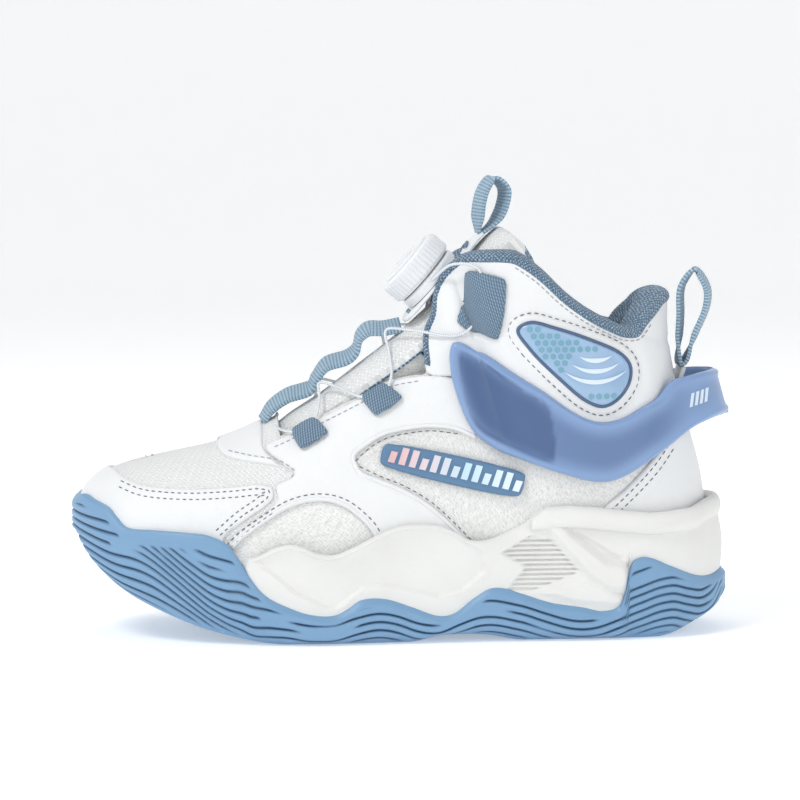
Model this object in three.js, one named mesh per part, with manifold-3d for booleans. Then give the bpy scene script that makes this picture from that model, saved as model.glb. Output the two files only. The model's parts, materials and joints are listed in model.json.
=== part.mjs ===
// A left basketball high top with a turning closure dial, in millimetres.
// +Z is up, the toe points to -X, the heel to +X, and the outer (lateral) side faces -Y.
// The origin is on the ground, under the middle of the shoe.
import * as THREE from "three";
import { mergeVertices } from "three/addons/utils/BufferGeometryUtils.js";
import Module from "manifold-3d";

const wasm = await Module();
wasm.setup();

// Driving dimensions
const GAP = 0.35; // clearance between pieces that are glued, sewn or clipped together
const OVERLAY = [0.45, 1.7]; // distances of a leather overlay's two faces from the last surface
const MESH = [-1.2, 0]; // the mesh layer under the overlays
const COUNTER = [-2.7, -1.55]; // stiffeners inside the mesh
const COLLAR_FOAM = [-7.6, -1.55];
const COLLAR_LINING = [-9.2, -8.1];
const TRIM = [2.1, 3.7]; // lens, badge and webbing lying on the leather
const WING = [2.6, 5];
const WING_STAND_OFF = 13.5; // how far the heel wing stands away from the heel at its back
const OUTSOLE_WALL = 3.6;
const OUTSOLE_FLOOR = 5;
const WIRE_RADIUS = 0.55;
const DIAL_RADIUS = 14.2;
const DIAL_BASE = [13.6, 132]; // X and Z of the dial's base centre
const DIAL_TILT = -0.867; // the dial's axis leans forward, towards the toe
const KNOB_TEETH = 24;
const STATIONS = 42; // divisions of one loop round the shoe
const RISES = 7; // divisions from the sole up to the top

const leather = new THREE.MeshStandardMaterial({ color: "#eeefef", roughness: 0.55 });
const mesh = new THREE.MeshStandardMaterial({ color: "#e6e6e3", roughness: 0.9 });
const foam = new THREE.MeshStandardMaterial({ color: "#e8e8e2", roughness: 0.8 });
const lining = new THREE.MeshStandardMaterial({ color: "#7fa0bf", roughness: 0.95 });
const webbing = new THREE.MeshStandardMaterial({ color: "#7f9dba", roughness: 0.9 });
const rubber = new THREE.MeshStandardMaterial({ color: "#7ba3c9", roughness: 0.5 });
const tpu = new THREE.MeshStandardMaterial({ color: "#5a78ab", roughness: 0.35 });
const plate = new THREE.MeshStandardMaterial({ color: "#dfe5ea", roughness: 0.4 });
const steel = new THREE.MeshStandardMaterial({ color: "#b9bdc2", roughness: 0.3, metalness: 1 });

const shoe = new THREE.Group();

// Curves -------------------------------------------------------------------------------------

// A smooth value between four evenly spaced ones, at t from 0 to 1 of the middle pair.
function smoothBetween(a, b, c, d, t) {
  const rise = (c - a) / 2;
  const fall = (d - b) / 2;
  const t2 = t * t;
  const t3 = t2 * t;
  return (2 * t3 - 3 * t2 + 1) * b + (t3 - 2 * t2 + t) * rise + (3 * t2 - 2 * t3) * c + (t3 - t2) * fall;
}

// A height that follows straight pieces between [x, z] points.
function profile(points) {
  return (x) => {
    if (x <= points[0][0]) return points[0][1];
    const next = points.findIndex((p) => p[0] > x);
    if (next < 0) return points[points.length - 1][1];
    const [x0, z0] = points[next - 1];
    const [x1, z1] = points[next];
    return z0 + ((z1 - z0) * (x - x0)) / (x1 - x0);
  };
}

// The sole's centre line swings towards the inner side at the toe and to the outer at the arch.
const swing = profile([
  [-126, 3.2], [-100, 2.2], [-75, 1], [-50, 0], [-30, -2], [-10, -3.5], [5, -3.9],
  [35, -3.9], [60, -2.4], [85, -1], [126, 0],
]);

// The last ----------------------------------------------------------------------------------

// Stations from the toe tip round the outer side to the heel. Each has the feather edge
// (x, y, z), the top (x, y, z), the facing angle, the outward and upward pull at the feather,
// and the outward and downward pull at the top.
const LAST = [
  [-117, 0, 38, -98, 0, 65.8, 0, 10, 12, 19, 3],
  [-106, -22.5, 33, -88, 0, 68, 50, 8, 15, 19, 1],
  [-78, -35.5, 22, -66, 0, 73.5, 84, 6, 24, 20, 0],
  [-47, -38.5, 17, -44, 0, 84, 90, 5, 34, 21, 0],
  [-20, -36, 17, -22, 0, 99, 90, 5, 40, 22, 0],
  [6, -32, 21, -2, 0, 113.5, 90, 5, 42, 24, 0],
  [26, -30, 24, 9, 0, 127, 90, 6, 42, 26, 0],
  [44, -29, 24, 15, 0, 150, 90, 7, 40, 23, 4],
  [60, -29, 24, 32, -25, 152, 84, 8, 38, 4, 32],
  [78, -28, 24, 56, -31, 148, 92, 9, 38, 1, 38],
  [97, -22, 24, 82, -28, 142, 125, 11, 37, -3, 40],
  [108, -11.5, 24, 97, -15, 139, 150, 14, 36, -8, 42],
  [111.5, 0, 24, 103, 0, 138, 180, 15.5, 36, -11, 43],
];
const LAST_SPANS = LAST.length - 1;
const RIDGE_END = 7 / LAST_SPANS; // the ridge becomes the open ankle ring here

// A station's row; rows beyond the toe and the heel are the mirror image of the row inside.
function lastRow(index) {
  if (index >= 0 && index <= LAST_SPANS) return LAST[index];
  const inside = index < 0 ? LAST[-index] : LAST[2 * LAST_SPANS - index];
  const row = inside.slice();
  row[1] = -row[1];
  row[4] = -row[4];
  row[6] = index < 0 ? -row[6] : 360 - row[6];
  return row;
}

// The last surface on the outer side: w runs from toe (0) to heel (1), v from sole to top.
function outerPoint(w, v) {
  const place = Math.min(w * LAST_SPANS, LAST_SPANS - 1e-9);
  const index = Math.floor(place);
  const t = place - index;
  const rows = [-1, 0, 1, 2].map((step) => lastRow(index + step));
  const value = (k) => smoothBetween(rows[0][k], rows[1][k], rows[2][k], rows[3][k], t);
  const angle = THREE.MathUtils.degToRad(value(6));
  const out = new THREE.Vector3(-Math.cos(angle), -Math.sin(angle), 0);
  const foot = new THREE.Vector3(value(0), Math.min(value(1), 0), value(2));
  const top = new THREE.Vector3(value(3), w <= RIDGE_END ? 0 : Math.min(value(4), 0), value(5));
  const low = foot.clone().addScaledVector(out, value(7));
  low.z += value(8);
  const high = top.clone().addScaledVector(out, value(9));
  high.z -= value(10);
  const point = new THREE.CubicBezierCurve3(foot, low, high, top).getPoint(v);
  point.y = Math.min(point.y, 0);
  return point;
}

// The last surface all round: W runs from -1 (heel, inner side) through 0 (toe) to 1.
function lastPoint(W, v) {
  const wrapped = W > 1 ? W - 2 : W < -1 ? W + 2 : W;
  const point = outerPoint(Math.abs(wrapped), v);
  if (wrapped < 0) point.y = -point.y;
  return point;
}

// A point at a distance from the last surface, along its normal.
function offsetPoint(W, v, distance) {
  const step = 1e-3;
  const point = lastPoint(W, v);
  const around = lastPoint(W + step, v).sub(lastPoint(W - step, v));
  const up = lastPoint(W, Math.min(v + step, 1)).sub(lastPoint(W, Math.max(v - step, 0)));
  const normal = around.cross(up).normalize();
  const onRidge = v > 1 - 1e-9 && Math.abs(W) <= RIDGE_END;
  if (onRidge || Math.abs(W) < 1e-9 || Math.abs(W) > 1 - 1e-9) normal.y = 0;
  normal.normalize();
  return point.addScaledVector(normal, distance);
}

// The place on the outer side whose side view is (x, z), at a distance from the last surface.
function onSide(x, z, distance) {
  let best = [0, 0, Infinity];
  const miss = (w, v) => {
    const p = offsetPoint(w, v, distance);
    return Math.hypot(p.x - x, p.z - z);
  };
  for (let w = 0.02; w < 1; w += 0.03) {
    for (let v = 0.04; v < 1; v += 0.06) {
      const far = miss(w, v);
      if (far < best[2]) best = [w, v, far];
    }
  }
  for (let reach = 0.03; reach > 1e-5; reach *= 0.7) {
    for (const [dw, dv] of [[1, 0], [-1, 0], [0, 1], [0, -1], [1, 1], [-1, -1], [1, -1], [-1, 1]]) {
      const w = THREE.MathUtils.clamp(best[0] + dw * reach, 0, 1);
      const v = THREE.MathUtils.clamp(best[1] + dv * reach, 0, 1);
      const far = miss(w, v);
      if (far < best[2]) best = [w, v, far];
    }
  }
  return offsetPoint(best[0], best[1], distance);
}

// Solids ------------------------------------------------------------------------------------

function toSolid(geometry) {
  const bare = new THREE.BufferGeometry().setAttribute("position", geometry.getAttribute("position"));
  if (geometry.index) bare.setIndex(geometry.index);
  const merged = mergeVertices(bare, 1e-3);
  const triVerts = new Uint32Array(merged.index.array);
  return new wasm.Manifold(
    new wasm.Mesh({ numProp: 3, vertProperties: merged.attributes.position.array, triVerts }),
  );
}

function toGeometry(body) {
  const result = body.getMesh();
  return new THREE.BufferGeometry()
    .setAttribute("position", new THREE.BufferAttribute(result.vertProperties, 3))
    .setIndex(new THREE.BufferAttribute(result.triVerts, 1));
}

// A closed solid from rings of equal length, each ring a loop that starts at the toe and
// comes back to it; the first and last ring are closed by strips across the shoe.
function solidOfRings(rings) {
  const count = rings[0].length;
  const positions = rings.flat().flatMap((p) => [p.x, p.y, p.z]);
  const faces = [];
  const quad = (a, b, c, d) => faces.push(a, b, c, a, c, d);
  for (let r = 0; r + 1 < rings.length; r++) {
    for (let i = 0; i < count; i++) {
      const j = (i + 1) % count;
      quad(r * count + i, r * count + j, (r + 1) * count + j, (r + 1) * count + i);
    }
  }
  const last = (rings.length - 1) * count;
  for (let i = 0; i < count / 2; i++) {
    const back = (count - i) % count;
    const backNext = count - i - 1;
    quad(back, backNext, i + 1, i);
    quad(last + i, last + i + 1, last + backNext, last + back);
  }
  const kept = [];
  const same = (a, b) =>
    Math.abs(positions[3 * a] - positions[3 * b]) < 1e-3 &&
    Math.abs(positions[3 * a + 1] - positions[3 * b + 1]) < 1e-3 &&
    Math.abs(positions[3 * a + 2] - positions[3 * b + 2]) < 1e-3;
  for (let i = 0; i < faces.length; i += 3) {
    const [a, b, c] = faces.slice(i, i + 3);
    if (!same(a, b) && !same(b, c) && !same(a, c)) kept.push(a, b, c);
  }
  const geometry = new THREE.BufferGeometry();
  geometry.setAttribute("position", new THREE.Float32BufferAttribute(positions, 3));
  geometry.setIndex(kept);
  const body = toSolid(geometry);
  return body.volume() < 0 ? toSolid(reversed(geometry)) : body;
}

function reversed(geometry) {
  const index = Array.from(geometry.index.array);
  for (let i = 0; i < index.length; i += 3) {
    [index[i + 1], index[i + 2]] = [index[i + 2], index[i + 1]];
  }
  return geometry.clone().setIndex(index);
}

// The filled last, grown by a distance that may change along the shoe.
function grownLast(distance) {
  const reach = typeof distance === "number" ? () => distance : distance;
  const rings = [];
  for (let r = 0; r <= RISES; r++) {
    const ring = [];
    for (let i = 0; i < STATIONS; i++) {
      const turn = (2 * i) / STATIONS;
      const W = turn <= 1 ? turn : turn - 2;
      ring.push(offsetPoint(W, r / RISES, reach(Math.abs(W))));
    }
    rings.push(ring);
  }
  return solidOfRings(rings);
}

function layer([low, high]) {
  return grownLast(high).subtract(grownLast(low));
}

// A prism across the shoe with a side-view outline of [x, z] points, from yLow to yHigh.
function prism(outline, yLow, yHigh) {
  const shape = new THREE.Shape(outline.map(([x, z]) => new THREE.Vector2(x, z)));
  const geometry = new THREE.ExtrudeGeometry(shape, { depth: yHigh - yLow, bevelEnabled: false });
  geometry.rotateX(Math.PI / 2);
  geometry.translate(0, yHigh, 0);
  return toSolid(geometry);
}

// A corridor along a side-view line: the outline of everything within half a width of it.
function ribbonOutline(line, thickness) {
  const left = [];
  const right = [];
  line.forEach(([x, z], i) => {
    const [xa, za] = line[Math.max(i - 1, 0)];
    const [xb, zb] = line[Math.min(i + 1, line.length - 1)];
    const length = Math.hypot(xb - xa, zb - za);
    const nx = (-(zb - za) / length) * (thickness / 2);
    const nz = ((xb - xa) / length) * (thickness / 2);
    left.push([x + nx, z + nz]);
    right.push([x - nx, z - nz]);
  });
  return left.concat(right.reverse());
}

function swung(body) {
  return body.warp((p) => {
    p[1] += swing(p[0]);
  });
}

function add(name, body, material, parent = shoe) {
  const geometry = body.isBufferGeometry ? body : toGeometry(swung(largest(body)));
  const piece = new THREE.Mesh(geometry, material);
  piece.name = name;
  parent.add(piece);
  return piece;
}

// The main body of a cut, without slivers.
function largest(body) {
  const pieces = body.decompose();
  return pieces.reduce((best, piece) => (piece.volume() > best.volume() ? piece : best));
}

function mirrored(body) {
  return body.mirror([0, 1, 0]);
}

function addPair(name, outer, material, parent = shoe) {
  add(name + "_lateral", outer, material, parent);
  add(name + "_medial", mirrored(outer), material, parent);
}

// Sole --------------------------------------------------------------------------------------

const SOLE_OUTLINE = [
  [-125.5, 0], [-123.6, 9], [-119, 17.5], [-111.5, 26.5], [-100, 34.5], [-84, 40.8],
  [-65, 44.3], [-45, 44.8], [-25, 43], [0, 38.8], [25, 36.8], [50, 36.8], [75, 37.2],
  [95, 35.4], [109, 29.5], [118, 21], [124, 10.8], [125.8, 0],
];
const soleBottom = profile([
  [-124.5, 36], [-121.4, 28.6], [-117, 23], [-108, 17.6], [-95, 12], [-78, 6], [-60, 1.8],
  [-46, 0], [2, 0], [14, 2.2], [30, 2.2], [44, 0], [98, 0], [110, 2.6], [119, 6.4], [125.4, 13],
]);
const outsoleTop = profile([
  [-125, 51.4], [-119, 51], [-113.9, 49], [-106, 42], [-81.6, 41], [-74.8, 40.2],
  [-67.2, 36.8], [-58.8, 25], [-52.9, 18], [-44.4, 13.6], [-35.8, 10.8], [-27.3, 10.6],
  [-17, 16], [-8.3, 16.2], [12, 9.8], [17.4, 10.2], [31, 19.2], [36, 19.4], [54, 13.7],
  [76, 10.4], [81, 14], [84.3, 26.6], [88, 29.8], [91.9, 29.8], [112, 22], [124, 22.3],
]);
const midsoleTop = profile([
  [-125, 45], [-110, 37], [-75, 33], [-61, 31.2], [-49.4, 35.2], [-44, 36.2], [-30, 32.7],
  [-11, 39.7], [4.5, 43.2], [23, 37.4], [30, 37.2], [44.6, 43.1], [51, 49], [68.7, 48.4],
  [92, 45], [112, 45.2], [118, 46.8],
]);
const footbed = profile([
  [-125, 38], [-106, 31], [-78, 20.4], [-50, 15.6], [-20, 15.6], [6, 19.4], [26, 22.4], [126, 22.4],
]);

const outlineCurve = new THREE.CatmullRomCurve3(
  SOLE_OUTLINE.map(([x, y]) => new THREE.Vector3(x, -y, 0)).concat(
    SOLE_OUTLINE.slice(1, -1).reverse().map(([x, y]) => new THREE.Vector3(x, y, 0)),
  ),
  true,
  "centripetal",
);
outlineCurve.arcLengthDivisions = 800;

// The sole's outline moved inwards, at a height that depends on x.
function soleRing(inset, height) {
  const ring = [];
  for (let i = 0; i < STATIONS; i++) {
    const at = outlineCurve.getPointAt(i / STATIONS);
    const along = outlineCurve.getTangentAt(i / STATIONS);
    const x = at.x - along.y * inset;
    const y = at.y + along.x * inset;
    ring.push(new THREE.Vector3(x, y, height(at.x)));
  }
  return ring;
}

const wallHeight = (share) => (x) => soleBottom(x) + share * (outsoleTop(x) - soleBottom(x));
const floorHeight = (x) => soleBottom(x) + OUTSOLE_FLOOR;
const last = grownLast(OVERLAY[1] + GAP);

function makeOutsole() {
  const body = solidOfRings([
    soleRing(7, soleBottom),
    soleRing(1.2, wallHeight(0.22)),
    soleRing(0, wallHeight(0.6)),
    soleRing(1.2, outsoleTop),
    soleRing(1.2 + OUTSOLE_WALL, outsoleTop),
    soleRing(OUTSOLE_WALL, wallHeight(0.6)),
    soleRing(OUTSOLE_WALL + 3, (x) => Math.min(floorHeight(x), outsoleTop(x) - 1)),
  ]);
  return body.subtract(last);
}

function makeMidsole() {
  const inWall = OUTSOLE_WALL + 0.5;
  const above = (x) => Math.max(outsoleTop(x), midsoleTop(x) - 1.5);
  const visible = (x) => outsoleTop(x) + 0.5;
  const block = solidOfRings([
    soleRing(inWall + 3.4, (x) => Math.min(floorHeight(x), outsoleTop(x) - 1) + GAP),
    soleRing(inWall + 1.3, visible),
    soleRing(1.4, (x) => visible(x) + 0.3),
    soleRing(0.4, (x) => (visible(x) + above(x)) / 2 + 0.8),
    soleRing(1.8, (x) => above(x) + 1.4),
    soleRing(6, (x) => above(x) + 1.4),
    soleRing(11, footbed),
  ]);
  const toeTrim = prism([[-140, 0], [-63, 0], [-63, 80], [-140, 80]], -70, 70);
  const insideToe = solidOfRings([
    soleRing(inWall + 3.4, (x) => Math.min(floorHeight(x), outsoleTop(x) - 1) + GAP),
    soleRing(inWall + 1.3, (x) => Math.max(midsoleTop(x), floorHeight(x) + 3)),
    soleRing(inWall + 4, (x) => Math.max(midsoleTop(x), floorHeight(x) + 3)),
    soleRing(11, footbed),
  ]);
  return block.subtract(toeTrim).add(insideToe.intersect(toeTrim)).subtract(last);
}

// A sheet that follows the footbed, between two heights above it.
function bedSheet(inset, low, high) {
  return solidOfRings([soleRing(inset, (x) => footbed(x) + low), soleRing(inset, (x) => footbed(x) + high)]);
}

const outsole = makeOutsole();
const heelClipBand = prism(
  [[46, 44.5], [49, 50], [70, 50.6], [94, 48.5], [114, 48.6], [122, 50.5], [124, 43], [112, 41.8], [84, 41.2], [64, 42.2]],
  -70,
  70,
);
const heelClipShell = solidOfRings([soleRing(-1.2, () => 30), soleRing(-1.2, () => 60)]).subtract(
  solidOfRings([soleRing(3.2, () => 20), soleRing(3.2, () => 70)]),
);
const heelClip = heelClipBand.intersect(heelClipShell).subtract(last);
const heelClipRoom = prism(
  [[45, 42.5], [48, 52], [70, 53], [94, 51], [114, 51], [126, 53], [128, 42], [112, 40.8], [84, 40.2], [64, 41.2]],
  -70,
  70,
).subtract(solidOfRings([soleRing(3.7, () => 20), soleRing(3.7, () => 70)]));
const shank = solidOfRings([
  soleRing(24, (x) => footbed(x) - 4.2),
  soleRing(24, (x) => footbed(x) - 2.6),
]).intersect(prism([[-25, 0], [62, 0], [62, 60], [-25, 60]], -60, 60));
const shankRoom = solidOfRings([
  soleRing(23, (x) => footbed(x) - 4.6),
  soleRing(23, (x) => footbed(x) + 2),
]).intersect(prism([[-26, 0], [63, 0], [63, 60], [-26, 60]], -60, 60));

add("outsole", outsole, rubber);
add("midsole", makeMidsole().subtract(heelClipRoom).subtract(shankRoom), foam);
add("heel_clip", heelClip, tpu);
add("shank_plate", shank, tpu);
add("lasting_board", bedSheet(14, 1.9, 3.1).subtract(layer([-2.7, 8])), mesh);
add("sockliner", bedSheet(14.6, 3.5, 7.6).subtract(layer([-3.2, 8])), lining);

// Tongue -----------------------------------------------------------------------------------------

// Stations up the tongue's face: x, z, half width, how far the edges fall back, thickness.
const TONGUE = [
  [-50.5, 76.6, 9.5, 3.4, 4], [-42, 83.6, 12.5, 5.2, 4.5], [-30, 91.6, 14.5, 5.6, 5],
  [-17, 101.6, 16, 6, 5.5], [-5, 110.8, 17, 6.4, 6], [5, 119.4, 17.5, 6.4, 6.5],
  [17, 131, 18, 6, 8.5], [23.8, 140, 18.5, 5.6, 10.5], [30.2, 148.6, 17.5, 5.2, 11.5], [36.2, 154, 14, 4, 9],
];
const ARC_POINTS = 7;

// A closed loft of the tongue between two shares of its thickness, and a share of its width.
function tongueLayer(from, to, widthShare) {
  const sections = TONGUE.map(([x, z, half, fall, thick], i) => {
    const before = TONGUE[Math.max(i - 1, 0)];
    const after = TONGUE[Math.min(i + 1, TONGUE.length - 1)];
    const along = new THREE.Vector2(after[0] - before[0], after[1] - before[1]).normalize();
    const inward = new THREE.Vector2(along.y, -along.x);
    const at = (side, depth) => {
      const sink = fall * side * side + depth;
      return new THREE.Vector3(x + inward.x * sink, side * half * widthShare, z + inward.y * sink);
    };
    const sides = Array.from({ length: ARC_POINTS }, (_, k) => -1 + (2 * k) / (ARC_POINTS - 1));
    const thinned = (share, side) => share * thick * (share > 0 ? 1 - 0.45 * side ** 4 : 1);
    const face = sides.map((side) => at(side, thinned(from, side)));
    const back = sides.map((side) => at(side, thinned(to, side)));
    return face.concat(back.reverse());
  });
  return loft(sections);
}

// A closed solid through sections of equal length, with flat fans at both ends.
function loft(sections) {
  const count = sections[0].length;
  const positions = sections.flat().flatMap((p) => [p.x, p.y, p.z]);
  const faces = [];
  for (let s = 0; s + 1 < sections.length; s++) {
    for (let i = 0; i < count; i++) {
      const j = (i + 1) % count;
      const a = s * count;
      const b = a + count;
      faces.push(a + i, a + j, b + j, a + i, b + j, b + i);
    }
  }
  const end = (sections.length - 1) * count;
  for (let i = 0; i + 1 < count / 2; i++) {
    const j = count - 1 - i;
    faces.push(i, j, i + 1, i + 1, j, j - 1);
    faces.push(end + i, end + i + 1, end + j, end + i + 1, end + j - 1, end + j);
  }
  const geometry = new THREE.BufferGeometry();
  geometry.setAttribute("position", new THREE.Float32BufferAttribute(positions, 3));
  geometry.setIndex(faces);
  const body = toSolid(geometry);
  return body.volume() < 0 ? toSolid(reversed(geometry)) : body;
}

// The space that the tongue fills and lifts through, kept free of the quarters and the collar.
const tongueRoom = tongueLayer(-6, 1.25, 1.07);

// Upper: outlines in side view ----------------------------------------------------------------

const throatLine = [
  [-52.5, 72.6], [-49.1, 74.8], [-43.4, 77.4], [-31.8, 83.6], [-20.1, 89.6], [-5.3, 97.4], [3.6, 99.4], [8, 99.8],
];
const frontEdge = [[8, 114.7], [11.1, 122], [11.9, 129.3], [14.6, 135.7], [19.1, 140.2]];
const toplineRest = [
  [22.6, 142.6], [30, 143.2], [39, 143], [42.5, 141.6], [49.7, 136.6], [59.6, 127.6],
  [68.8, 121.2], [78.1, 116.6], [83, 114.8], [87.6, 114.9], [91.1, 118.7], [96, 123], [100, 126.5], [115, 128.5],
];
const underWing = [[20, 98], [30, 89.5], [45, 80.5], [62, 76], [82, 74], [97, 80], [125, 92]];
const forefootWindow = [
  [-66, 30], [-65.5, 36.4], [-61.2, 40.6], [-52.7, 46.5], [-44.1, 51.6], [-37.3, 53.7],
  [-30.5, 54.1], [-23.7, 52.3], [-17.7, 48], [-13.5, 43.6], [-11.3, 39.7], [-10, 30],
];
const midfootWindow = [
  [-19.9, 70.1], [-15.7, 73.9], [-8.6, 78.1], [0.5, 80.3], [9.5, 81.2], [18.6, 80.2], [26, 77],
  [42, 71.5], [60, 67.5], [84, 66], [97, 73.5], [91.2, 66.3], [82.6, 57.7], [73.2, 49.3], [66, 30], [26, 30],
  [22, 37.7], [13.8, 46], [7.5, 51.5], [-1.6, 57], [-10.6, 60.7], [-17.8, 64],
];
const toeCapEdge = [
  [-111.3, 66], [-105.4, 60.6], [-99.3, 58.6], [-90.8, 57.7], [-78, 57.6], [-64.4, 58.6],
  [-54.2, 59.5], [-50, 58.2], [-49.6, 55], [-52.7, 51.7], [-61.2, 45.9], [-68, 40.1], [-69, 20],
];
const tabEdge = [[-72, 90], [-70, 71], [-65.6, 68.7], [-58.1, 67.5], [-47.6, 66], [-43.4, 63.4]];
const heelEdge = [[67, 30], [73.9, 48.8], [83.3, 57.2], [92, 65.8], [98, 73], [101, 80.8]];
const wingOutline = [
  [20.6, 112.3], [17.4, 112.2], [16, 107.9], [16.5, 100.7], [18.7, 92.6], [22.2, 83.6], [25.7, 78.2],
  [32.9, 72.8], [45.7, 67.2], [59.3, 62.6], [68.5, 60.2], [75.9, 59.8], [82.4, 61.7], [91.8, 66.9],
  [101.5, 72.9], [111.6, 79.1], [121.6, 82.3], [135, 84], [135, 99.7], [118, 99.7], [109.7, 98.4],
  [102.3, 96.7], [96.4, 91], [89.7, 87.6], [82.4, 84], [75.1, 82.4], [69.6, 83], [61.4, 86.8],
  [50.6, 94.1], [37, 102.3], [26, 109.6],
];
const lensOutline = [
  [41.4, 117], [45.9, 119.7], [55, 117.7], [68.7, 113.1], [80.6, 107.6], [84.3, 103], [83.8, 96.6],
  [78.9, 90.3], [73.4, 88.1], [67, 90.4], [56.9, 98.7], [46, 109.6],
];
const badgeOutline = [[-8.2, 74.8], [44.4, 63], [42.4, 54.2], [-10.1, 67.3]];

const outerSide = (outline) => prism(outline, -70, -GAP);
const overlayLayer = layer(OVERLAY).subtract(tongueRoom);
const meshLayer = layer(MESH).subtract(tongueRoom);
const aboveBed = bedSheet(-12, 3.6, 160);

const toeCapArea = toeCapEdge.concat([[-140, 20], [-140, 66]]);
const quarterFront = [
  [-67, 30], [-67.2, 38.6], [-60.4, 44.7], [-51.8, 50.5], [-48.3, 54.4], [-48.8, 58.9], [-41.8, 63.2], [-46.2, 67],
];
const quarterArea = quarterFront.concat(
  throatLine,
  underWing.slice(0, -2),
  [[97, 79], [98, 75], ...heelEdge.slice(1, -2).reverse(), [66, 30]],
);
const tabArea = tabEdge.concat([[-48.4, 67.4], [-53.7, 72.2], [-53.7, 90]]);
const collarArea = [[8.4, 100.6]].concat(
  frontEdge,
  toplineRest,
  [[125, 93], ...underWing.slice(0, -1).reverse().map(([x, z]) => [x, z + 0.8])],
);
const heelArea = heelEdge.concat([[126, 92], [130, 92], [130, 20], [67, 20]]);

add("toe_cap", overlayLayer.intersect(prism(toeCapArea, -70, 70)).intersect(aboveBed), leather);
const throatGap = prism([...throatLine, [8, 160], [-53, 160]].map(([x, z]) => [x, z + 0.5]), -70, 70);
add("throat_overlay", overlayLayer.intersect(prism(tabArea, -70, 70)).subtract(throatGap), leather);
addPair(
  "quarter_overlay",
  overlayLayer
    .intersect(outerSide(quarterArea))
    .subtract(prism(forefootWindow, -80, 1))
    .subtract(prism(midfootWindow, -80, 1))
    .intersect(aboveBed),
  leather,
);
addPair("collar_quarter", overlayLayer.intersect(outerSide(collarArea)), leather);
add("heel_overlay", overlayLayer.intersect(prism(heelArea, -70, 70)).intersect(aboveBed), leather);

// The mesh under the leather: one vamp and two quarters, with the throat left open.
const vampArea = [[-140, 20], [-60, 20], [-60, 66], [-50, 75], [-53, 95], [-140, 95]];
add(
  "vamp_mesh",
  meshLayer.intersect(prism(vampArea, -70, 70)).intersect(aboveBed).subtract(throatGap),
  mesh,
);
const quarterMeshArea = [[-59.4, 20], [-59.4, 65.6], [-52, 72.4]].concat(
  throatLine.slice(1),
  frontEdge,
  toplineRest,
  [[130, 128.5], [130, 20]],
);
addPair("quarter_mesh", meshLayer.intersect(outerSide(quarterMeshArea)).intersect(aboveBed), mesh);

const counterLayer = layer(COUNTER);
const aboveSock = bedSheet(-12, 8, 160);
add(
  "toe_puff",
  counterLayer.intersect(prism([[-140, 20], [-92, 20], [-98, 70], [-140, 70]], -70, 70)).intersect(aboveSock),
  plate,
);
const counterArea = [[62, 20], [84, 62], [96, 66], [130, 70], [130, 20]];
add("heel_counter", counterLayer.intersect(prism(counterArea, -70, 70)).intersect(aboveSock), plate);

const collarInside = [[14, 96]].concat(
  [[14, 116], [17, 129], [21, 137], [27, 140.6]],
  toplineRest.slice(1, -5).map(([x, z]) => [x, z - 1]),
  [[86, 116], [90.6, 120.5], [96, 126], [101, 130], [125, 130.5], [125, 76], [84, 76], [50, 88]],
);
const collarRoom = prism(collarInside, -70, 70).subtract(tongueRoom);
add("collar_padding", layer(COLLAR_FOAM).intersect(collarRoom), foam);
add("collar_lining", layer(COLLAR_LINING).intersect(collarRoom), lining);

// Trim on the leather ---------------------------------------------------------------------------

const trimLayer = layer(TRIM);
addPair("ankle_lens", trimLayer.intersect(outerSide(lensOutline)), rubber);
addPair("side_badge", trimLayer.intersect(outerSide(badgeOutline)), tpu);

const standOff = (w) => WING_STAND_OFF * THREE.MathUtils.smoothstep(w, 0.84, 1);
const wing = grownLast((w) => WING[1] + standOff(w))
  .subtract(grownLast((w) => WING[0] + standOff(w)))
  .intersect(prism(wingOutline, -80, 80));
add("heel_wing", wing, tpu);

// Lace guides: folded webbing with a tunnel for the wire.
const guideOutlines = {
  front: [[-43.2, 79.4], [-34.2, 84.6], [-29.1, 79.3], [-39.5, 72.9]],
  mid: [[-17, 92.2], [-8.1, 97.4], [-1.2, 92], [-11.4, 85.2]],
  collar: [[22, 138.6], [36.4, 135.8], [36, 122.3], [33.3, 112.9], [19, 119.6], [21.4, 126.5]],
};

// The wire's route on the outer side, from the dial to the foot of the instep webbing.
const DIAL_PORT = [10.6, -14.6, 134.6];
const onLeather = (TRIM[0] + TRIM[1]) / 2 + 0.25;
const sidePoint = (x, z, distance = onLeather) => onSide(x, z, distance);
const wireRoute = [
  new THREE.Vector3(...DIAL_PORT),
  new THREE.Vector3(18, -23, 141),
  sidePoint(27, 139.6),
  sidePoint(29, 130),
  sidePoint(26.5, 120),
  sidePoint(20, 114.6),
  new THREE.Vector3(3, -17, 116),
  new THREE.Vector3(-6.2, -8.6, 115.4),
  new THREE.Vector3(-5.4, -14.5, 107.5),
  sidePoint(-5.2, 98.4),
  sidePoint(-9.2, 91.6),
  sidePoint(-16.4, 91.4),
  new THREE.Vector3(-24, -14.6, 94),
  new THREE.Vector3(-31.5, -8.6, 95.4),
  new THREE.Vector3(-31.6, -13, 90.8),
  sidePoint(-32.8, 85.2),
  sidePoint(-36, 78.6),
  sidePoint(-43.6, 78.2),
  new THREE.Vector3(-48, -10, 79.4),
  new THREE.Vector3(-47, -1, 82.9),
];

// A closed tube along points, with flat ends.
function tube(points, radius, sides, steps) {
  const shape = new THREE.Shape();
  for (let i = 0; i < sides; i++) {
    const angle = (2 * Math.PI * i) / sides;
    const x = radius * Math.cos(angle);
    const y = radius * Math.sin(angle);
    if (i === 0) shape.moveTo(x, y);
    else shape.lineTo(x, y);
  }
  shape.closePath();
  const path = new THREE.CatmullRomCurve3(points, false, "centripetal");
  return toSolid(new THREE.ExtrudeGeometry(shape, { steps, extrudePath: path, bevelEnabled: false }));
}

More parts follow.
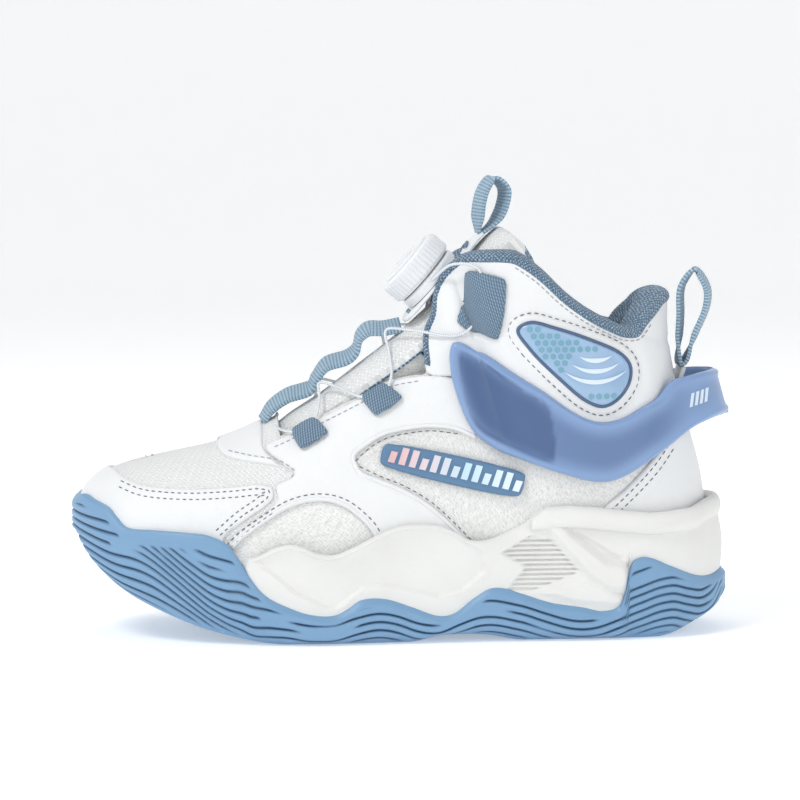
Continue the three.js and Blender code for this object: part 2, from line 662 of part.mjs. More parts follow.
const wire = tube(wireRoute, WIRE_RADIUS, 5, 64);
const wireTunnel = tube(wireRoute, WIRE_RADIUS + 0.4, 5, 64);
const guideLayer = layer([TRIM[0], TRIM[1] + 0.7]);
for (const [place, outline] of Object.entries(guideOutlines)) {
  addPair("lace_guide_" + place, guideLayer.intersect(outerSide(outline)).subtract(wireTunnel), webbing);
}
addPair("lace_wire", wire, plate);

add("tongue_cover", tongueLayer(0, 0.2, 1), mesh);
add("tongue_foam", tongueLayer(0.27, 0.74, 0.94), foam);
add("tongue_lining", tongueLayer(0.86, 1, 0.9), lining);
const tongueBadge = new THREE.BoxGeometry(1.4, 15, 8.6);
tongueBadge.rotateY(0.64);
tongueBadge.translate(25.7, 0, 145.7);
add("tongue_badge", toSolid(tongueBadge), plate);

const webbingLine = [
  [-52.6, 80.4], [-49.7, 85], [-43.3, 89.8], [-34.6, 92.9], [-32.6, 96.4], [-28.5, 101.8],
  [-20.4, 104.6], [-17.4, 107.4], [-15.6, 112.6], [-12.4, 115.4], [-6.8, 115.6], [0, 116.9],
];
add("instep_webbing", prism(ribbonOutline(webbingLine, 1.8), -6, 6), webbing);

// Pull loops: a bent ribbon of webbing with an opening for a finger.
function pullLoop(outline, thickness, halfWidth) {
  const path = outline.map(([x, z]) => new THREE.Vector3(x, z, 0));
  const rounded = new THREE.CatmullRomCurve3(path, true, "centripetal");
  const outer = rounded.getSpacedPoints(22).slice(0, -1).map((p) => [p.x, p.y]);
  const turn = Math.sign(THREE.ShapeUtils.area(outer.map(([x, z]) => new THREE.Vector2(x, z))));
  const inner = outer.map(([x, z], i) => {
    const [xa, za] = outer[(i + outer.length - 1) % outer.length];
    const [xb, zb] = outer[(i + 1) % outer.length];
    const reach = (turn * thickness) / Math.hypot(xb - xa, zb - za);
    return [x - (zb - za) * reach, z + (xb - xa) * reach];
  });
  return prism(outer, -halfWidth, halfWidth).subtract(prism(inner, -halfWidth - 1, halfWidth + 1));
}

const heelLoop = [
  [107.2, 100.6], [107.2, 119.9], [107.8, 131.6], [113.4, 138], [118.8, 131], [118.9, 123.6], [114.4, 112.4], [109.6, 101.4],
];
add("heel_pull_loop", pullLoop(heelLoop, 1.5, 6.5), webbing);
add("heel_loop_tab", prism([[106.6, 93], [109.6, 93], [110.2, 99.8], [107, 99.6]], -7.5, 7.5).subtract(last), leather);
const tongueLoop = [[29.4, 150.9], [28.7, 158], [30.8, 168.6], [35, 173.4], [40, 169], [39.4, 162], [36.2, 155.9]];
add("tongue_pull_loop", pullLoop(tongueLoop, 1.4, 6), webbing);

// Closure dial: built upright, then tilted on to the tongue ------------------------------------------

const dial = new THREE.Group();
dial.position.set(DIAL_BASE[0], swing(DIAL_BASE[0]), DIAL_BASE[1]);
dial.rotation.y = DIAL_TILT;
shoe.add(dial);

function turned(points, segments) {
  const outline = points.map(([r, z]) => new THREE.Vector2(r, z));
  const geometry = new THREE.LatheGeometry(outline.concat([outline[0].clone()]), segments);
  geometry.rotateX(Math.PI / 2);
  const body = toSolid(geometry);
  return toGeometry(body.volume() < 0 ? toSolid(reversed(toGeometry(body))) : body);
}

function discWithTeeth(inner, outer, tooth, low, high) {
  const shape = new THREE.Shape();
  for (let i = 0; i < 2 * KNOB_TEETH; i++) {
    const angle = (Math.PI * i) / KNOB_TEETH;
    const radius = i % 2 ? outer : outer - tooth;
    if (i === 0) shape.moveTo(radius, 0);
    else shape.lineTo(radius * Math.cos(angle), radius * Math.sin(angle));
  }
  shape.closePath();
  const hole = new THREE.Path();
  hole.absarc(0, 0, inner, 0, 2 * Math.PI, true);
  shape.holes.push(hole);
  const geometry = new THREE.ExtrudeGeometry(shape, { depth: high - low, bevelEnabled: false, curveSegments: 12 });
  geometry.translate(0, 0, low);
  return toGeometry(toSolid(geometry));
}

function roundedPlate(length, width, radius, low, high) {
  const shape = new THREE.Shape();
  const x = length / 2 - radius;
  const y = width / 2 - radius;
  shape.absarc(x, y, radius, 0, Math.PI / 2);
  shape.absarc(-x, y, radius, Math.PI / 2, Math.PI);
  shape.absarc(-x, -y, radius, Math.PI, 1.5 * Math.PI);
  shape.absarc(x, -y, radius, 1.5 * Math.PI, 2 * Math.PI);
  const geometry = new THREE.ExtrudeGeometry(shape, { depth: high - low, bevelEnabled: false, curveSegments: 5 });
  geometry.translate(0, 0, low);
  return toGeometry(toSolid(geometry));
}

add("dial_base_plate", roundedPlate(31, 27, 8, 0, 1.5).translate(-3, 0, 0), plate, dial);
add(
  "dial_housing",
  turned([[0, 1.8], [13, 1.8], [13.4, 4.8], [12.6, 5.6], [11, 5.6], [11, 9], [8.8, 9], [8.8, 3.2], [0, 3.2]], 24),
  plate,
  dial,
);
add("dial_spool", turned([[2.4, 3.6], [8.4, 3.6], [8.4, 4.6], [6, 4.8], [6, 7.2], [8.4, 7.4], [8.4, 8.4], [2.4, 8.4]], 20), plate, dial);
add("dial_axle_screw", turned([[0, 3.6], [2, 3.6], [2, 11.6], [3.6, 11.6], [3.6, 12.9], [0, 12.9]], 16), steel, dial);
add("ratchet_disc", discWithTeeth(2.5, 10.8, 0.8, 9.4, 10.5), plate, dial);
add("knob_retainer", turned([[4.2, 11.4], [10.4, 11.4], [10.4, 12.4], [4.2, 12.4]], 20), steel, dial);
add(
  "knob_body",
  turned([[0, 13.7], [11.6, 13.7], [11.8, 6.2], [13.2, 6.2], [13.2, 14.6], [12.4, 15.2], [11.2, 15.2], [11.2, 14.9], [0, 14.9]], 24),
  plate,
  dial,
);
add("knob_grip", discWithTeeth(13.5, DIAL_RADIUS, 0.45, 6.8, 14), rubber, dial);
add("knob_cap", turned([[0, 15.2], [10.8, 15.2], [10.8, 15.5], [8.6, 16.2], [0, 16.2]], 24), tpu, dial);

export default shoe;
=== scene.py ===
"""A left basketball high top with a turning closure dial: the visual model round its CAD frame.

Sizes are in millimetres until a mesh is made, and +X is the heel, -Y the outer side, +Z up.
"""

import json
import logging
import math
from collections.abc import Callable, Sequence
from dataclasses import dataclass, field
from enum import Enum

import bmesh
import bpy
import numpy as np
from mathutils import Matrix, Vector
from mathutils.geometry import delaunay_2d_cdt


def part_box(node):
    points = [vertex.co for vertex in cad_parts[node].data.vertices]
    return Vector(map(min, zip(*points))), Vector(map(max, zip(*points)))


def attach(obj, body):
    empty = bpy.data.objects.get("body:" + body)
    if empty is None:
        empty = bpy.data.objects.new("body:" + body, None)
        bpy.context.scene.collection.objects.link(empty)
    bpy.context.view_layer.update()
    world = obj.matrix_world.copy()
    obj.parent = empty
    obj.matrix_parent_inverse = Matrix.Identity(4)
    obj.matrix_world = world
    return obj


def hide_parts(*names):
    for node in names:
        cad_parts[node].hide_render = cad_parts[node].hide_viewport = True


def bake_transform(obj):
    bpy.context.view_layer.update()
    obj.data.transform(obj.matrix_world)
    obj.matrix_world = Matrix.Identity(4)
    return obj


LOG = logging.getLogger("high_top")
MM = 0.001
Array = np.ndarray
Pairs = Sequence[Sequence[float]]

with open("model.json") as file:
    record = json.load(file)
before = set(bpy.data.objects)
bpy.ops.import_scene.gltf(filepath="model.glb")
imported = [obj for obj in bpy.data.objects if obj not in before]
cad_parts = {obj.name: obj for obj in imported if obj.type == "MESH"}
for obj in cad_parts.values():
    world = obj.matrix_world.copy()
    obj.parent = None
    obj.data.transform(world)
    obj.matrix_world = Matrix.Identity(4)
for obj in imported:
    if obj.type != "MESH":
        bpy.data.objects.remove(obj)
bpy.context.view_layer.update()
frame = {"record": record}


# ---------------------------------------------------------------- curves and the last surface


def smooth_rows(rows: Array, t: Array) -> Array:
    """Reads a table smoothly between its rows, by the cubic through four neighbouring rows.

    Args:
        rows: The table, one row per whole number of t, with one spare row at each end.
        t: Places between 0 and the number of rows less 3.

    Returns:
        One interpolated row per place.
    """
    index = np.clip(np.floor(t).astype(int), 0, len(rows) - 4)
    f = (t - index)[:, None]
    a, b, c, d = (rows[index + k] for k in range(4))
    rise, fall = (c - a) / 2, (d - b) / 2
    return (
        (2 * f**3 - 3 * f**2 + 1) * b + (f**3 - 2 * f**2 + f) * rise
        + (3 * f**2 - 2 * f**3) * c + (f**3 - f**2) * fall
    )


def resampled(points: Array, spacing: float) -> Array:
    """Walks along a polyline with even steps.

    Args:
        points: Points in two or three dimensions.
        spacing: The length of one step.

    Returns:
        The evenly spaced points, ends included.
    """
    length = np.concatenate([[0], np.cumsum(np.linalg.norm(np.diff(points, axis=0), axis=1))])
    count = max(int(round(length[-1] / spacing)), 2)
    at = np.linspace(0, length[-1], count + 1)
    return np.stack([np.interp(at, length, points[:, k]) for k in range(points.shape[1])], axis=1)


def curve_through(points: Pairs, spacing: float = 1.0, closed: bool = False) -> Array:
    """A smooth curve through given points: a cubic whose knots are the roots of the gaps.

    Args:
        points: The points that the curve passes.
        spacing: The step of the result.
        closed: Whether the curve comes back to its start.

    Returns:
        Evenly spaced points; a closed curve doesn't repeat its first.
    """
    p = np.asarray(points, float)
    if closed:
        p = np.vstack([p[-1:], p, p[:2]])
    else:
        p = np.vstack([2 * p[:1] - p[1:2], p, 2 * p[-1:] - p[-2:-1]])
    knots = np.concatenate([[0], np.cumsum(np.sqrt(np.linalg.norm(np.diff(p, axis=0), axis=1)) + 1e-9)])
    pieces = []
    for i in range(1, len(p) - 2):
        t = np.linspace(knots[i], knots[i + 1], 16, endpoint=False)[:, None]
        k = knots[i - 1 : i + 3]
        q = p[i - 1 : i + 3]
        a = [((k[j + 1] - t) * q[j] + (t - k[j]) * q[j + 1]) / (k[j + 1] - k[j]) for j in range(3)]
        b = [((k[j + 2] - t) * a[j] + (t - k[j]) * a[j + 1]) / (k[j + 2] - k[j]) for j in range(2)]
        pieces.append(((k[2] - t) * b[0] + (t - k[1]) * b[1]) / (k[2] - k[1]))
    curve = np.vstack([*pieces, p[-2:-1]])
    even = resampled(curve, spacing)
    return even[:-1] if closed else even


def smoothstep(value: Array, low: float, high: float) -> Array:
    """The smooth ramp from 0 at low to 1 at high."""
    t = np.clip((value - low) / (high - low), 0, 1)
    return t * t * (3 - 2 * t)


SWING = np.array([
    [-126, 3.2], [-100, 2.2], [-75, 1], [-50, 0], [-30, -2], [-10, -3.5], [5, -3.9],
    [35, -3.9], [60, -2.4], [85, -1], [126, 0],
])


def swung(points: Array) -> Array:
    """Bends the shoe's straight centre line to the swing of a left foot, and turns mm to metres.

    Args:
        points: Points in millimetres, any shape with a last axis of 3.

    Returns:
        The points in metres.
    """
    moved = np.array(points, float)
    moved[..., 1] += np.interp(moved[..., 0], SWING[:, 0], SWING[:, 1])
    return moved * MM


@dataclass
class Last:
    """The form that the upper is pulled over.

    Each row is a station from the toe round the outer side to the heel: the feather edge, the
    top, the facing angle, then the pulls outwards and upwards at the feather and outwards and
    downwards at the top. A cubic Bezier runs up each station.
    """

    rows: Array = field(default_factory=lambda: np.array([
        [-117, 0, 38, -98, 0, 65.8, 0, 10, 12, 19, 3],
        [-106, -22.5, 33, -88, 0, 68, 50, 8, 15, 19, 1],
        [-78, -35.5, 22, -66, 0, 73.5, 84, 6, 24, 20, 0],
        [-47, -38.5, 17, -44, 0, 84, 90, 5, 34, 21, 0],
        [-20, -36, 17, -22, 0, 99, 90, 5, 40, 22, 0],
        [6, -32, 21, -2, 0, 113.5, 90, 5, 42, 24, 0],
        [26, -30, 24, 9, 0, 127, 90, 6, 42, 26, 0],
        [44, -29, 24, 15, 0, 150, 90, 7, 40, 23, 4],
        [60, -29, 24, 32, -25, 152, 84, 8, 38, 4, 32],
        [78, -28, 24, 56, -31, 148, 92, 9, 38, 1, 38],
        [97, -22, 24, 82, -28, 142, 125, 11, 37, -3, 40],
        [108, -11.5, 24, 97, -15, 139, 150, 14, 36, -8, 42],
        [111.5, 0, 24, 103, 0, 138, 180, 15.5, 36, -11, 43],
    ], float))
    ridge_end: float = 7 / 12
    width_mm: float = 320.0
    height_mm: float = 112.0

    def __post_init__(self) -> None:
        """Adds the mirrored rows beyond the toe and the heel, and the search grid."""
        toe, heel = self.rows[1].copy(), self.rows[-2].copy()
        toe[[1, 4, 6]] *= -1
        heel[[1, 4]] *= -1
        heel[6] = 360 - heel[6]
        self.spans = len(self.rows) - 1
        self.table = np.vstack([toe, self.rows, heel])
        w, v = np.meshgrid(np.linspace(0, 1, 161), np.linspace(0, 1, 61), indexing="ij")
        self.grid = np.stack([w.ravel(), v.ravel()], axis=1)

    def outer(self, w: Array, v: Array) -> Array:
        """Points of the outer side.

        Args:
            w: Places from the toe (0) to the heel (1).
            v: Places from the sole (0) to the top (1).

        Returns:
            One point per pair, in millimetres.
        """
        row = smooth_rows(self.table, np.clip(w, 0, 1) * self.spans)
        angle = np.radians(row[:, 6])
        out = np.stack([-np.cos(angle), -np.sin(angle), np.zeros_like(angle)], axis=1)
        up = np.array([0, 0, 1.0])
        foot, top = row[:, 0:3].copy(), row[:, 3:6].copy()
        foot[:, 1] = np.minimum(foot[:, 1], 0)
        top[:, 1] = np.where(w <= self.ridge_end, 0, np.minimum(top[:, 1], 0))
        low = foot + out * row[:, 7:8] + up * row[:, 8:9]
        high = top + out * row[:, 9:10] - up * row[:, 10:11]
        t = v[:, None]
        point = (1 - t) ** 3 * foot + 3 * (1 - t) ** 2 * t * low + 3 * (1 - t) * t**2 * high + t**3 * top
        point[:, 1] = np.minimum(point[:, 1], 0)
        return point

    def point(self, w: Array, v: Array) -> Array:
        """Points all round: w runs from -1 (heel, inner side) through the toe at 0 to 1.

        Args:
            w: Places round, from -1 to 1.
            v: Places up, from 0 to 1.

        Returns:
            Points, in millimetres.
        """
        around = np.where(w > 1, w - 2, np.where(w < -1, w + 2, w))
        found = self.outer(np.abs(around), v)
        found[:, 1] *= np.where(around < 0, -1, 1)
        return found

    def normal(self, w: Array, v: Array) -> Array:
        """The outward normal, from the cross product of the steps round and up the surface.

        Args:
            w: Places round, from -1 to 1.
            v: Places up, from 0 to 1.

        Returns:
            Unit vectors.
        """
        around = self.point(w + 0.011, v) - self.point(w - 0.011, v)
        up = self.point(w, np.minimum(v + 0.006, 1)) - self.point(w, np.maximum(v - 0.006, 0))
        normal = np.cross(around, up)
        seam = (np.abs(w) < 1e-6) | (np.abs(w) > 1 - 1e-6) | ((v > 1 - 1e-6) & (np.abs(w) <= self.ridge_end))
        normal[seam, 1] = 0
        return normal / np.maximum(np.linalg.norm(normal, axis=1, keepdims=True), 1e-9)

    def lift(self, w: Array, v: Array, distance: Array | float) -> Array:
        """Points at a distance outside the last, in millimetres."""
        reach = np.broadcast_to(np.asarray(distance, float), w.shape)
        return self.point(w, v) + self.normal(w, v) * reach[:, None]

    def locate(self, outline: Array, distance: float | Callable[[Array], Array] = 1.7) -> tuple[Array, Array]:
        """Finds where side-view points lie on the outer side, by a search that shortens its reach.

        Args:
            outline: Side-view points (x, z).
            distance: How far outside the last the points lie, or that distance as a function of w.

        Returns:
            The places w and v of the nearest points of the lifted surface.
        """
        reach_of = distance if callable(distance) else lambda w: np.full(w.shape, distance)
        seen = self.lift(self.grid[:, 0], self.grid[:, 1], reach_of(self.grid[:, 0]))[:, [0, 2]]
        start = np.argmin(((outline[:, None, :] - seen[None]) ** 2).sum(axis=2), axis=1)
        best = self.grid[start].copy()
        miss = ((seen[start] - outline) ** 2).sum(axis=1)
        moves = np.array([[1, 0], [-1, 0], [0, 1], [0, -1], [1, 1], [-1, -1], [1, -1], [-1, 1]], float)
        reach = 0.006
        for _ in range(26):
            for move in moves:
                trial = np.clip(best + move * reach * np.array([1, 2.5]), 0, 1)
                found = self.lift(trial[:, 0], trial[:, 1], reach_of(trial[:, 0]))[:, [0, 2]]
                far = ((found - outline) ** 2).sum(axis=1)
                better = far < miss
                best[better] = trial[better]
                miss = np.where(better, far, miss)
            reach *= 0.72
        return best[:, 0], best[:, 1]


LAST = Last()


# ---------------------------------------------------------------- mesh helpers


def put_mesh(name: str, points: Array, faces: Array | list, uv: Array | None = None) -> bpy.types.Object:
    """Makes an object at the origin from points in metres.

    Args:
        name: The piece's name.
        points: The vertices.
        faces: Vertex numbers of each face.
        uv: One (u, v) pair per vertex, or None.

    Returns:
        The smooth-shaded object, linked to the scene.
    """
    data = bpy.data.meshes.new(name)
    data.from_pydata(points.tolist(), [], [list(map(int, f)) for f in faces])
    if uv is not None:
        layer = data.uv_layers.new(name="UVMap")
        corner = np.zeros(len(data.loops), dtype=np.int32)
        data.loops.foreach_get("vertex_index", corner)
        layer.data.foreach_set("uv", uv[corner].astype(np.float32).ravel())
    data.polygons.foreach_set("use_smooth", np.ones(len(data.polygons), dtype=bool))
    data.validate()
    data.update()
    made = bpy.data.objects.new(name, data)
    bpy.context.scene.collection.objects.link(made)
    return made


def grid_faces(rows: int, columns: int, wrap_rows: bool = False, wrap_columns: bool = False) -> Array:
    """Quads of a grid of points stored row by row, joined round where asked.

    Args:
        rows: Rows of the grid.
        columns: Points in a row.
        wrap_rows: Whether the last row joins the first.
        wrap_columns: Whether each row closes.

    Returns:
        Four vertex numbers per face.
    """
    i, j = np.meshgrid(
        np.arange(rows if wrap_rows else rows - 1), np.arange(columns if wrap_columns else columns - 1), indexing="ij"
    )
    k, m = (i + 1) % rows, (j + 1) % columns
    return np.stack([i * columns + j, k * columns + j, k * columns + m, i * columns + m], axis=-1).reshape(-1, 4)


def tidy_normals(piece: bpy.types.Object, weld: float = 0.02 * MM) -> bpy.types.Object:
    """Welds doubled points and turns every face outwards.

    Args:
        piece: The piece.
        weld: Distance below which points are joined, in metres.

    Returns:
        The same piece.
    """
    work = bmesh.new()
    work.from_mesh(piece.data)
    bmesh.ops.remove_doubles(work, verts=work.verts, dist=weld)
    bmesh.ops.recalc_face_normals(work, faces=work.faces)
    work.to_mesh(piece.data)
    work.free()
    return piece


def grid_piece(name: str, points: Array, wrap_rows: bool = False, wrap_columns: bool = False,
    uv: Array | None = None) -> bpy.types.Object:
    """An object from a grid of points in metres, shaped (rows, columns, 3).

    Args:
        name: The piece's name.
        points: The grid.
        wrap_rows: Whether the last row joins the first.
        wrap_columns: Whether each row closes.
        uv: One (u, v) pair per point, or None.

    Returns:
        The new object.
    """
    rows, columns = points.shape[:2]
    faces = grid_faces(rows, columns, wrap_rows, wrap_columns)
    flat_uv = None if uv is None else uv.reshape(-1, 2)
    return put_mesh(name, points.reshape(-1, 3), faces, flat_uv)


def add_attribute(piece: bpy.types.Object, name: str, values: Array) -> None:
    """Stores one number per vertex under a name that a material reads."""
    layer = piece.data.attributes.new(name, "FLOAT", "POINT")
    layer.data.foreach_set("value", values.astype(np.float32).ravel())


def solidify(piece: bpy.types.Object, thickness: float, offset: float = -1.0) -> None:
    """Gives a sheet a wall, in millimetres, inwards by default.

    Args:
        piece: The sheet.
        thickness: The wall, in millimetres.
        offset: -1 grows it inwards, 0 both ways.
    """
    wall = piece.modifiers.new("wall", "SOLIDIFY")
    wall.thickness = thickness * MM
    wall.offset = offset
    wall.use_even_offset = False


def sweep(name: str, path: Array, across: Array, section: Array, closed: bool = False) -> bpy.types.Object:
    """Carries a closed section along a path.

    Each ring is the path point, plus the section's first number along `across` and its second
    along the cross product of `across` and the path's direction.

    Args:
        name: The piece's name.
        path: Path points in millimetres.
        across: The width direction at each point.
        section: The section's corners, in millimetres.
        closed: Whether the path comes back to its start.

    Returns:
        The object, with its ends capped when it is open.
    """
    if closed:
        ahead = np.roll(path, -1, axis=0) - np.roll(path, 1, axis=0)
    else:
        ahead = np.gradient(path, axis=0)
    ahead /= np.maximum(np.linalg.norm(ahead, axis=1, keepdims=True), 1e-9)
    side = across - (across * ahead).sum(axis=1, keepdims=True) * ahead
    side /= np.maximum(np.linalg.norm(side, axis=1, keepdims=True), 1e-9)
    thick = np.cross(side, ahead)
    points = path[:, None] + side[:, None] * section[None, :, :1] + thick[:, None] * section[None, :, 1:]
    count = len(section)
    faces = grid_faces(len(path), count, closed, True).tolist()
    if not closed:
        faces += [list(range(count)), list(range((len(path) - 1) * count, len(path) * count))]
    step = np.linalg.norm(np.diff(path, axis=0), axis=1)
    along = np.concatenate([[0], np.cumsum(step)])
    uv = np.stack([np.repeat(along[:, None], count, 1), np.repeat(section[None, :, 0], len(path), 0)], axis=-1)
    made = put_mesh(name, points.reshape(-1, 3) * MM, faces, uv.reshape(-1, 2))
    return tidy_normals(made, 1e-7)


def flat_section(width: float, thickness: float, corner: float = 0.45) -> Array:
    """The rounded oblong section of a webbing, in millimetres.

    Args:
        width: Full width.
        thickness: Full thickness.
        corner: Corner radius.

    Returns:
        The corners, in order.
    """
    x, y = width / 2, thickness / 2
    right = [[x - corner * (1 - math.sin(a)), y - corner * (1 - math.cos(a))] for a in np.linspace(0, math.pi / 2, 4)]
    top = [[-p[0], p[1]] for p in reversed(right)]
    upper = np.array([[t, y] for t in np.linspace(-x + corner, x - corner, 7)[1:-1]] + right)
    lower = upper[::-1] * np.array([1, -1])
    lower_left = np.array([[-p[0], -p[1]] for p in right])
    return np.vstack([np.array(top), upper, lower[:], lower_left])


def round_section(radius: float, sides: int = 12) -> Array:
    """A circle of points."""
    angle = np.linspace(0, 2 * math.pi, sides, endpoint=False)
    return np.stack([radius * np.cos(angle), radius * np.sin(angle)], axis=1)


def inside_polygon(points: Array, outline: Array) -> Array:
    """Tells which points lie inside a closed outline, by counting crossings to the right.

    Args:
        points: Points in a plane.
        outline: The closed outline.

    Returns:
        True for each point inside.
    """
    x, y = points[:, :1], points[:, 1:]
    x0, y0 = outline[None, :, 0], outline[None, :, 1]
    x1, y1 = np.roll(outline[:, 0], -1)[None], np.roll(outline[:, 1], -1)[None]
    spans = (y0 > y) != (y1 > y)
    rise = np.where(np.abs(y1 - y0) < 1e-12, 1e-12, y1 - y0)
    crossed = spans & (x < (x1 - x0) * (y - y0) / rise + x0)
    return crossed.sum(axis=1) % 2 == 1


def distance_to(points: Array, line: Array, chunk: int = 3000) -> Array:
    """The distance from each point to the nearest point of a dense line."""
    parts = [
        np.sqrt(((points[i : i + chunk, None] - line[None]) ** 2).sum(axis=2).min(axis=1)) for i in range(0,
            len(points), chunk)
    ]
    return np.concatenate(parts) if parts else np.zeros(0)


def signed_inside(points: Array, outline: Pairs) -> Array:
    """Distance to an outline's edge, positive inside it, in the side view.

    Args:
        points: Side-view points, any shape with a last axis of 2.
        outline: The closed outline.

    Returns:
        The distances, in the shape of the points.
    """
    closed = np.vstack([np.asarray(outline, float), np.asarray(outline[:1], float)])
    dense = resampled(closed, 0.6)
    flat = points.reshape(-1, 2)
    found = distance_to(flat, dense) * np.where(inside_polygon(flat, dense), 1, -1)
    return found.reshape(points.shape[:-1])


# ---------------------------------------------------------------- finishes

Node = bpy.types.ShaderNode


class Effect:
    """A shader node group with named sockets, built once and shared by the finishes."""

    made: dict[str, bpy.types.NodeTree] = {}

    @classmethod
    def get(cls, name: str, inputs: dict[str, float], build: Callable[["Effect"], None]) -> bpy.types.NodeTree:
        """Returns the named group, building it on first use.

        Args:
            name: The group's name.
            inputs: Number inputs with their defaults; a Vector input is always added.
            build: Adds the nodes and joins them to the outputs.

        Returns:
            The node group.
        """
        if name in cls.made:
            return cls.made[name]
        tree = bpy.data.node_groups.new(name, "ShaderNodeTree")
        tree.interface.new_socket("Vector", in_out="INPUT", socket_type="NodeSocketVector")
        for key, value in inputs.items():
            tree.interface.new_socket(key, in_out="INPUT", socket_type="NodeSocketFloat").default_value = value
        for key in ("Height", "Mask"):
            tree.interface.new_socket(key, in_out="OUTPUT", socket_type="NodeSocketFloat")
        effect = cls(tree)
        build(effect)
        cls.made[name] = tree
        return tree

    def __init__(self, tree: bpy.types.NodeTree) -> None:
        """Starts with the group's input and output nodes.

        Args:
            tree: The empty node group.
        """
        self.tree = tree
        self.source = tree.nodes.new("NodeGroupInput")
        self.target = tree.nodes.new("NodeGroupOutput")

    def node(self, kind: str, settings: dict | None = None, **inputs: object) -> Node:
        """Adds a node; see `wire_node`."""
        return wire_node(self.tree, kind, settings, inputs)

    def maths(self, operation: str, a: object, b: object = 0.0, c: object = 0.0) -> object:
        """Adds a Math node and returns its result socket.

        Args:
            operation: The node's operation.
            a: First socket or value.
            b: Second, where there is one.
            c: Third, where there is one.

        Returns:
            The result socket.
        """
        node = self.tree.nodes.new("ShaderNodeMath")
        node.operation = operation
        for socket, value in zip(node.inputs, (a, b, c)):
            join(self.tree, value, socket)
        return node.outputs[0]

    def give(self, height: object, mask: object) -> None:
        """Joins the two results to the group's outputs."""
        join(self.tree, height, self.target.inputs["Height"])
        join(self.tree, mask, self.target.inputs["Mask"])


def join(tree: bpy.types.NodeTree, value: object, socket: bpy.types.NodeSocket) -> None:
    """Links a socket, or sets a plain value on it."""
    if isinstance(value, bpy.types.NodeSocket):
        tree.links.new(value, socket)
    else:
        socket.default_value = value


def wire_node(tree: bpy.types.NodeTree, kind: str, settings: dict | None, inputs: dict) -> Node:
    """Adds a shader node, sets its options and joins its inputs by name (spaces as _).

    Args:
        tree: The node tree.
        kind: The node's type.
        settings: Options to set, or None.
        inputs: Sockets or plain values by input name.

    Returns:
        The node.
    """
    node = tree.nodes.new(kind)
    for key, value in (settings or {}).items():
        setattr(node, key, value)
    for key, value in inputs.items():
        join(tree, value, node.inputs[key.replace("_", " ")])
    return node


def build_grain(effect: Effect) -> None:
    """Leather grain: fine cells plus soft creases, from Voronoi edges and noise.

    Args:
        effect: The node group that is being built.
    """
    vector = effect.source.outputs["Vector"]
    scale = effect.source.outputs["Scale"]
    cells = effect.node("ShaderNodeTexVoronoi", {"feature": "DISTANCE_TO_EDGE"}, Vector=vector, Scale=scale)
    creases = effect.node("ShaderNodeTexNoise", None, Vector=vector, Scale=90.0, Detail=4.0)
    pores = effect.maths("MINIMUM", effect.maths("MULTIPLY", cells.outputs["Distance"], 5.0), 1.0)
    height = effect.maths("ADD", effect.maths("MULTIPLY", pores, 0.5), creases.outputs["Fac"])
    effect.give(height, creases.outputs["Fac"])


def build_weave(effect: Effect) -> None:
    """Webbing: raised ribs across the band, cut into threads, from two cosine waves.

    Args:
        effect: The node group that is being built.
    """
    split = effect.node("ShaderNodeSeparateXYZ", None, Vector=effect.source.outputs["Vector"])
    scale = effect.source.outputs["Scale"]
    bands = []
    for axis, share in (("X", 1.0), ("Y", 0.8)):
        wave = effect.maths("COSINE", effect.maths("MULTIPLY", split.outputs[axis], effect.maths("MULTIPLY", scale,
            share)))
        band = effect.node("ShaderNodeMapRange", {"interpolation_type": "SMOOTHSTEP"}, Value=wave, From_Min=-0.9,
            From_Max=0.5)
        bands.append(band.outputs["Result"])
    threads = effect.maths("ADD", effect.maths("MULTIPLY", bands[1], 0.6), 0.4)
    both = effect.maths("MULTIPLY", bands[0], threads)
    effect.give(both, both)


def build_honeycomb(effect: Effect) -> None:
    """Honeycomb mesh: the sum of three cosine waves at 120 degrees, high in the middle of a cell.

    Args:
        effect: The node group that is being built.
    """
    split = effect.node("ShaderNodeSeparateXYZ", None, Vector=effect.source.outputs["Vector"])
    scale = effect.source.outputs["Scale"]
    u = effect.maths("MULTIPLY", split.outputs["X"], scale)
    v = effect.maths("MULTIPLY", split.outputs["Y"], effect.maths("MULTIPLY", scale, 0.866))
    half = effect.maths("MULTIPLY", u, 0.5)
    waves = [effect.maths("COSINE", t) for t in (u, effect.maths("ADD", half, v), effect.maths("SUBTRACT", half, v))]
    total = effect.maths("ADD", effect.maths("ADD", waves[0], waves[1]), waves[2])
    cell = effect.node("ShaderNodeMapRange", {"interpolation_type": "SMOOTHSTEP"}, Value=total, From_Min=-1.15,
        From_Max=-0.2)
    effect.give(effect.maths("SUBTRACT", 1.0, cell.outputs["Result"]), cell.outputs["Result"])


def build_fibres(effect: Effect) -> None:
    """Brushed knit: two stretched noises crossing on the diagonals, the higher one on top.

    Args:
        effect: The node group that is being built.
    """
    vector = effect.source.outputs["Vector"]
    layers = []
    for turn in (0.7, -0.75):
        turned = effect.node("ShaderNodeMapping", {"vector_type": "TEXTURE"}, Vector=vector, Rotation=(0, 0, turn),
            Scale=(2.4, 0.5, 1.0))
        noise = effect.node("ShaderNodeTexNoise", None, Vector=turned.outputs["Vector"],
            Scale=effect.source.outputs["Scale"], Detail=4.0)
        layers.append(noise.outputs["Fac"])
    top = effect.maths("MAXIMUM", layers[0], layers[1])
    shade = effect.node("ShaderNodeMapRange", {"interpolation_type": "SMOOTHSTEP"}, Value=top, From_Min=0.60,
        From_Max=0.42)
    effect.give(top, shade.outputs["Result"])


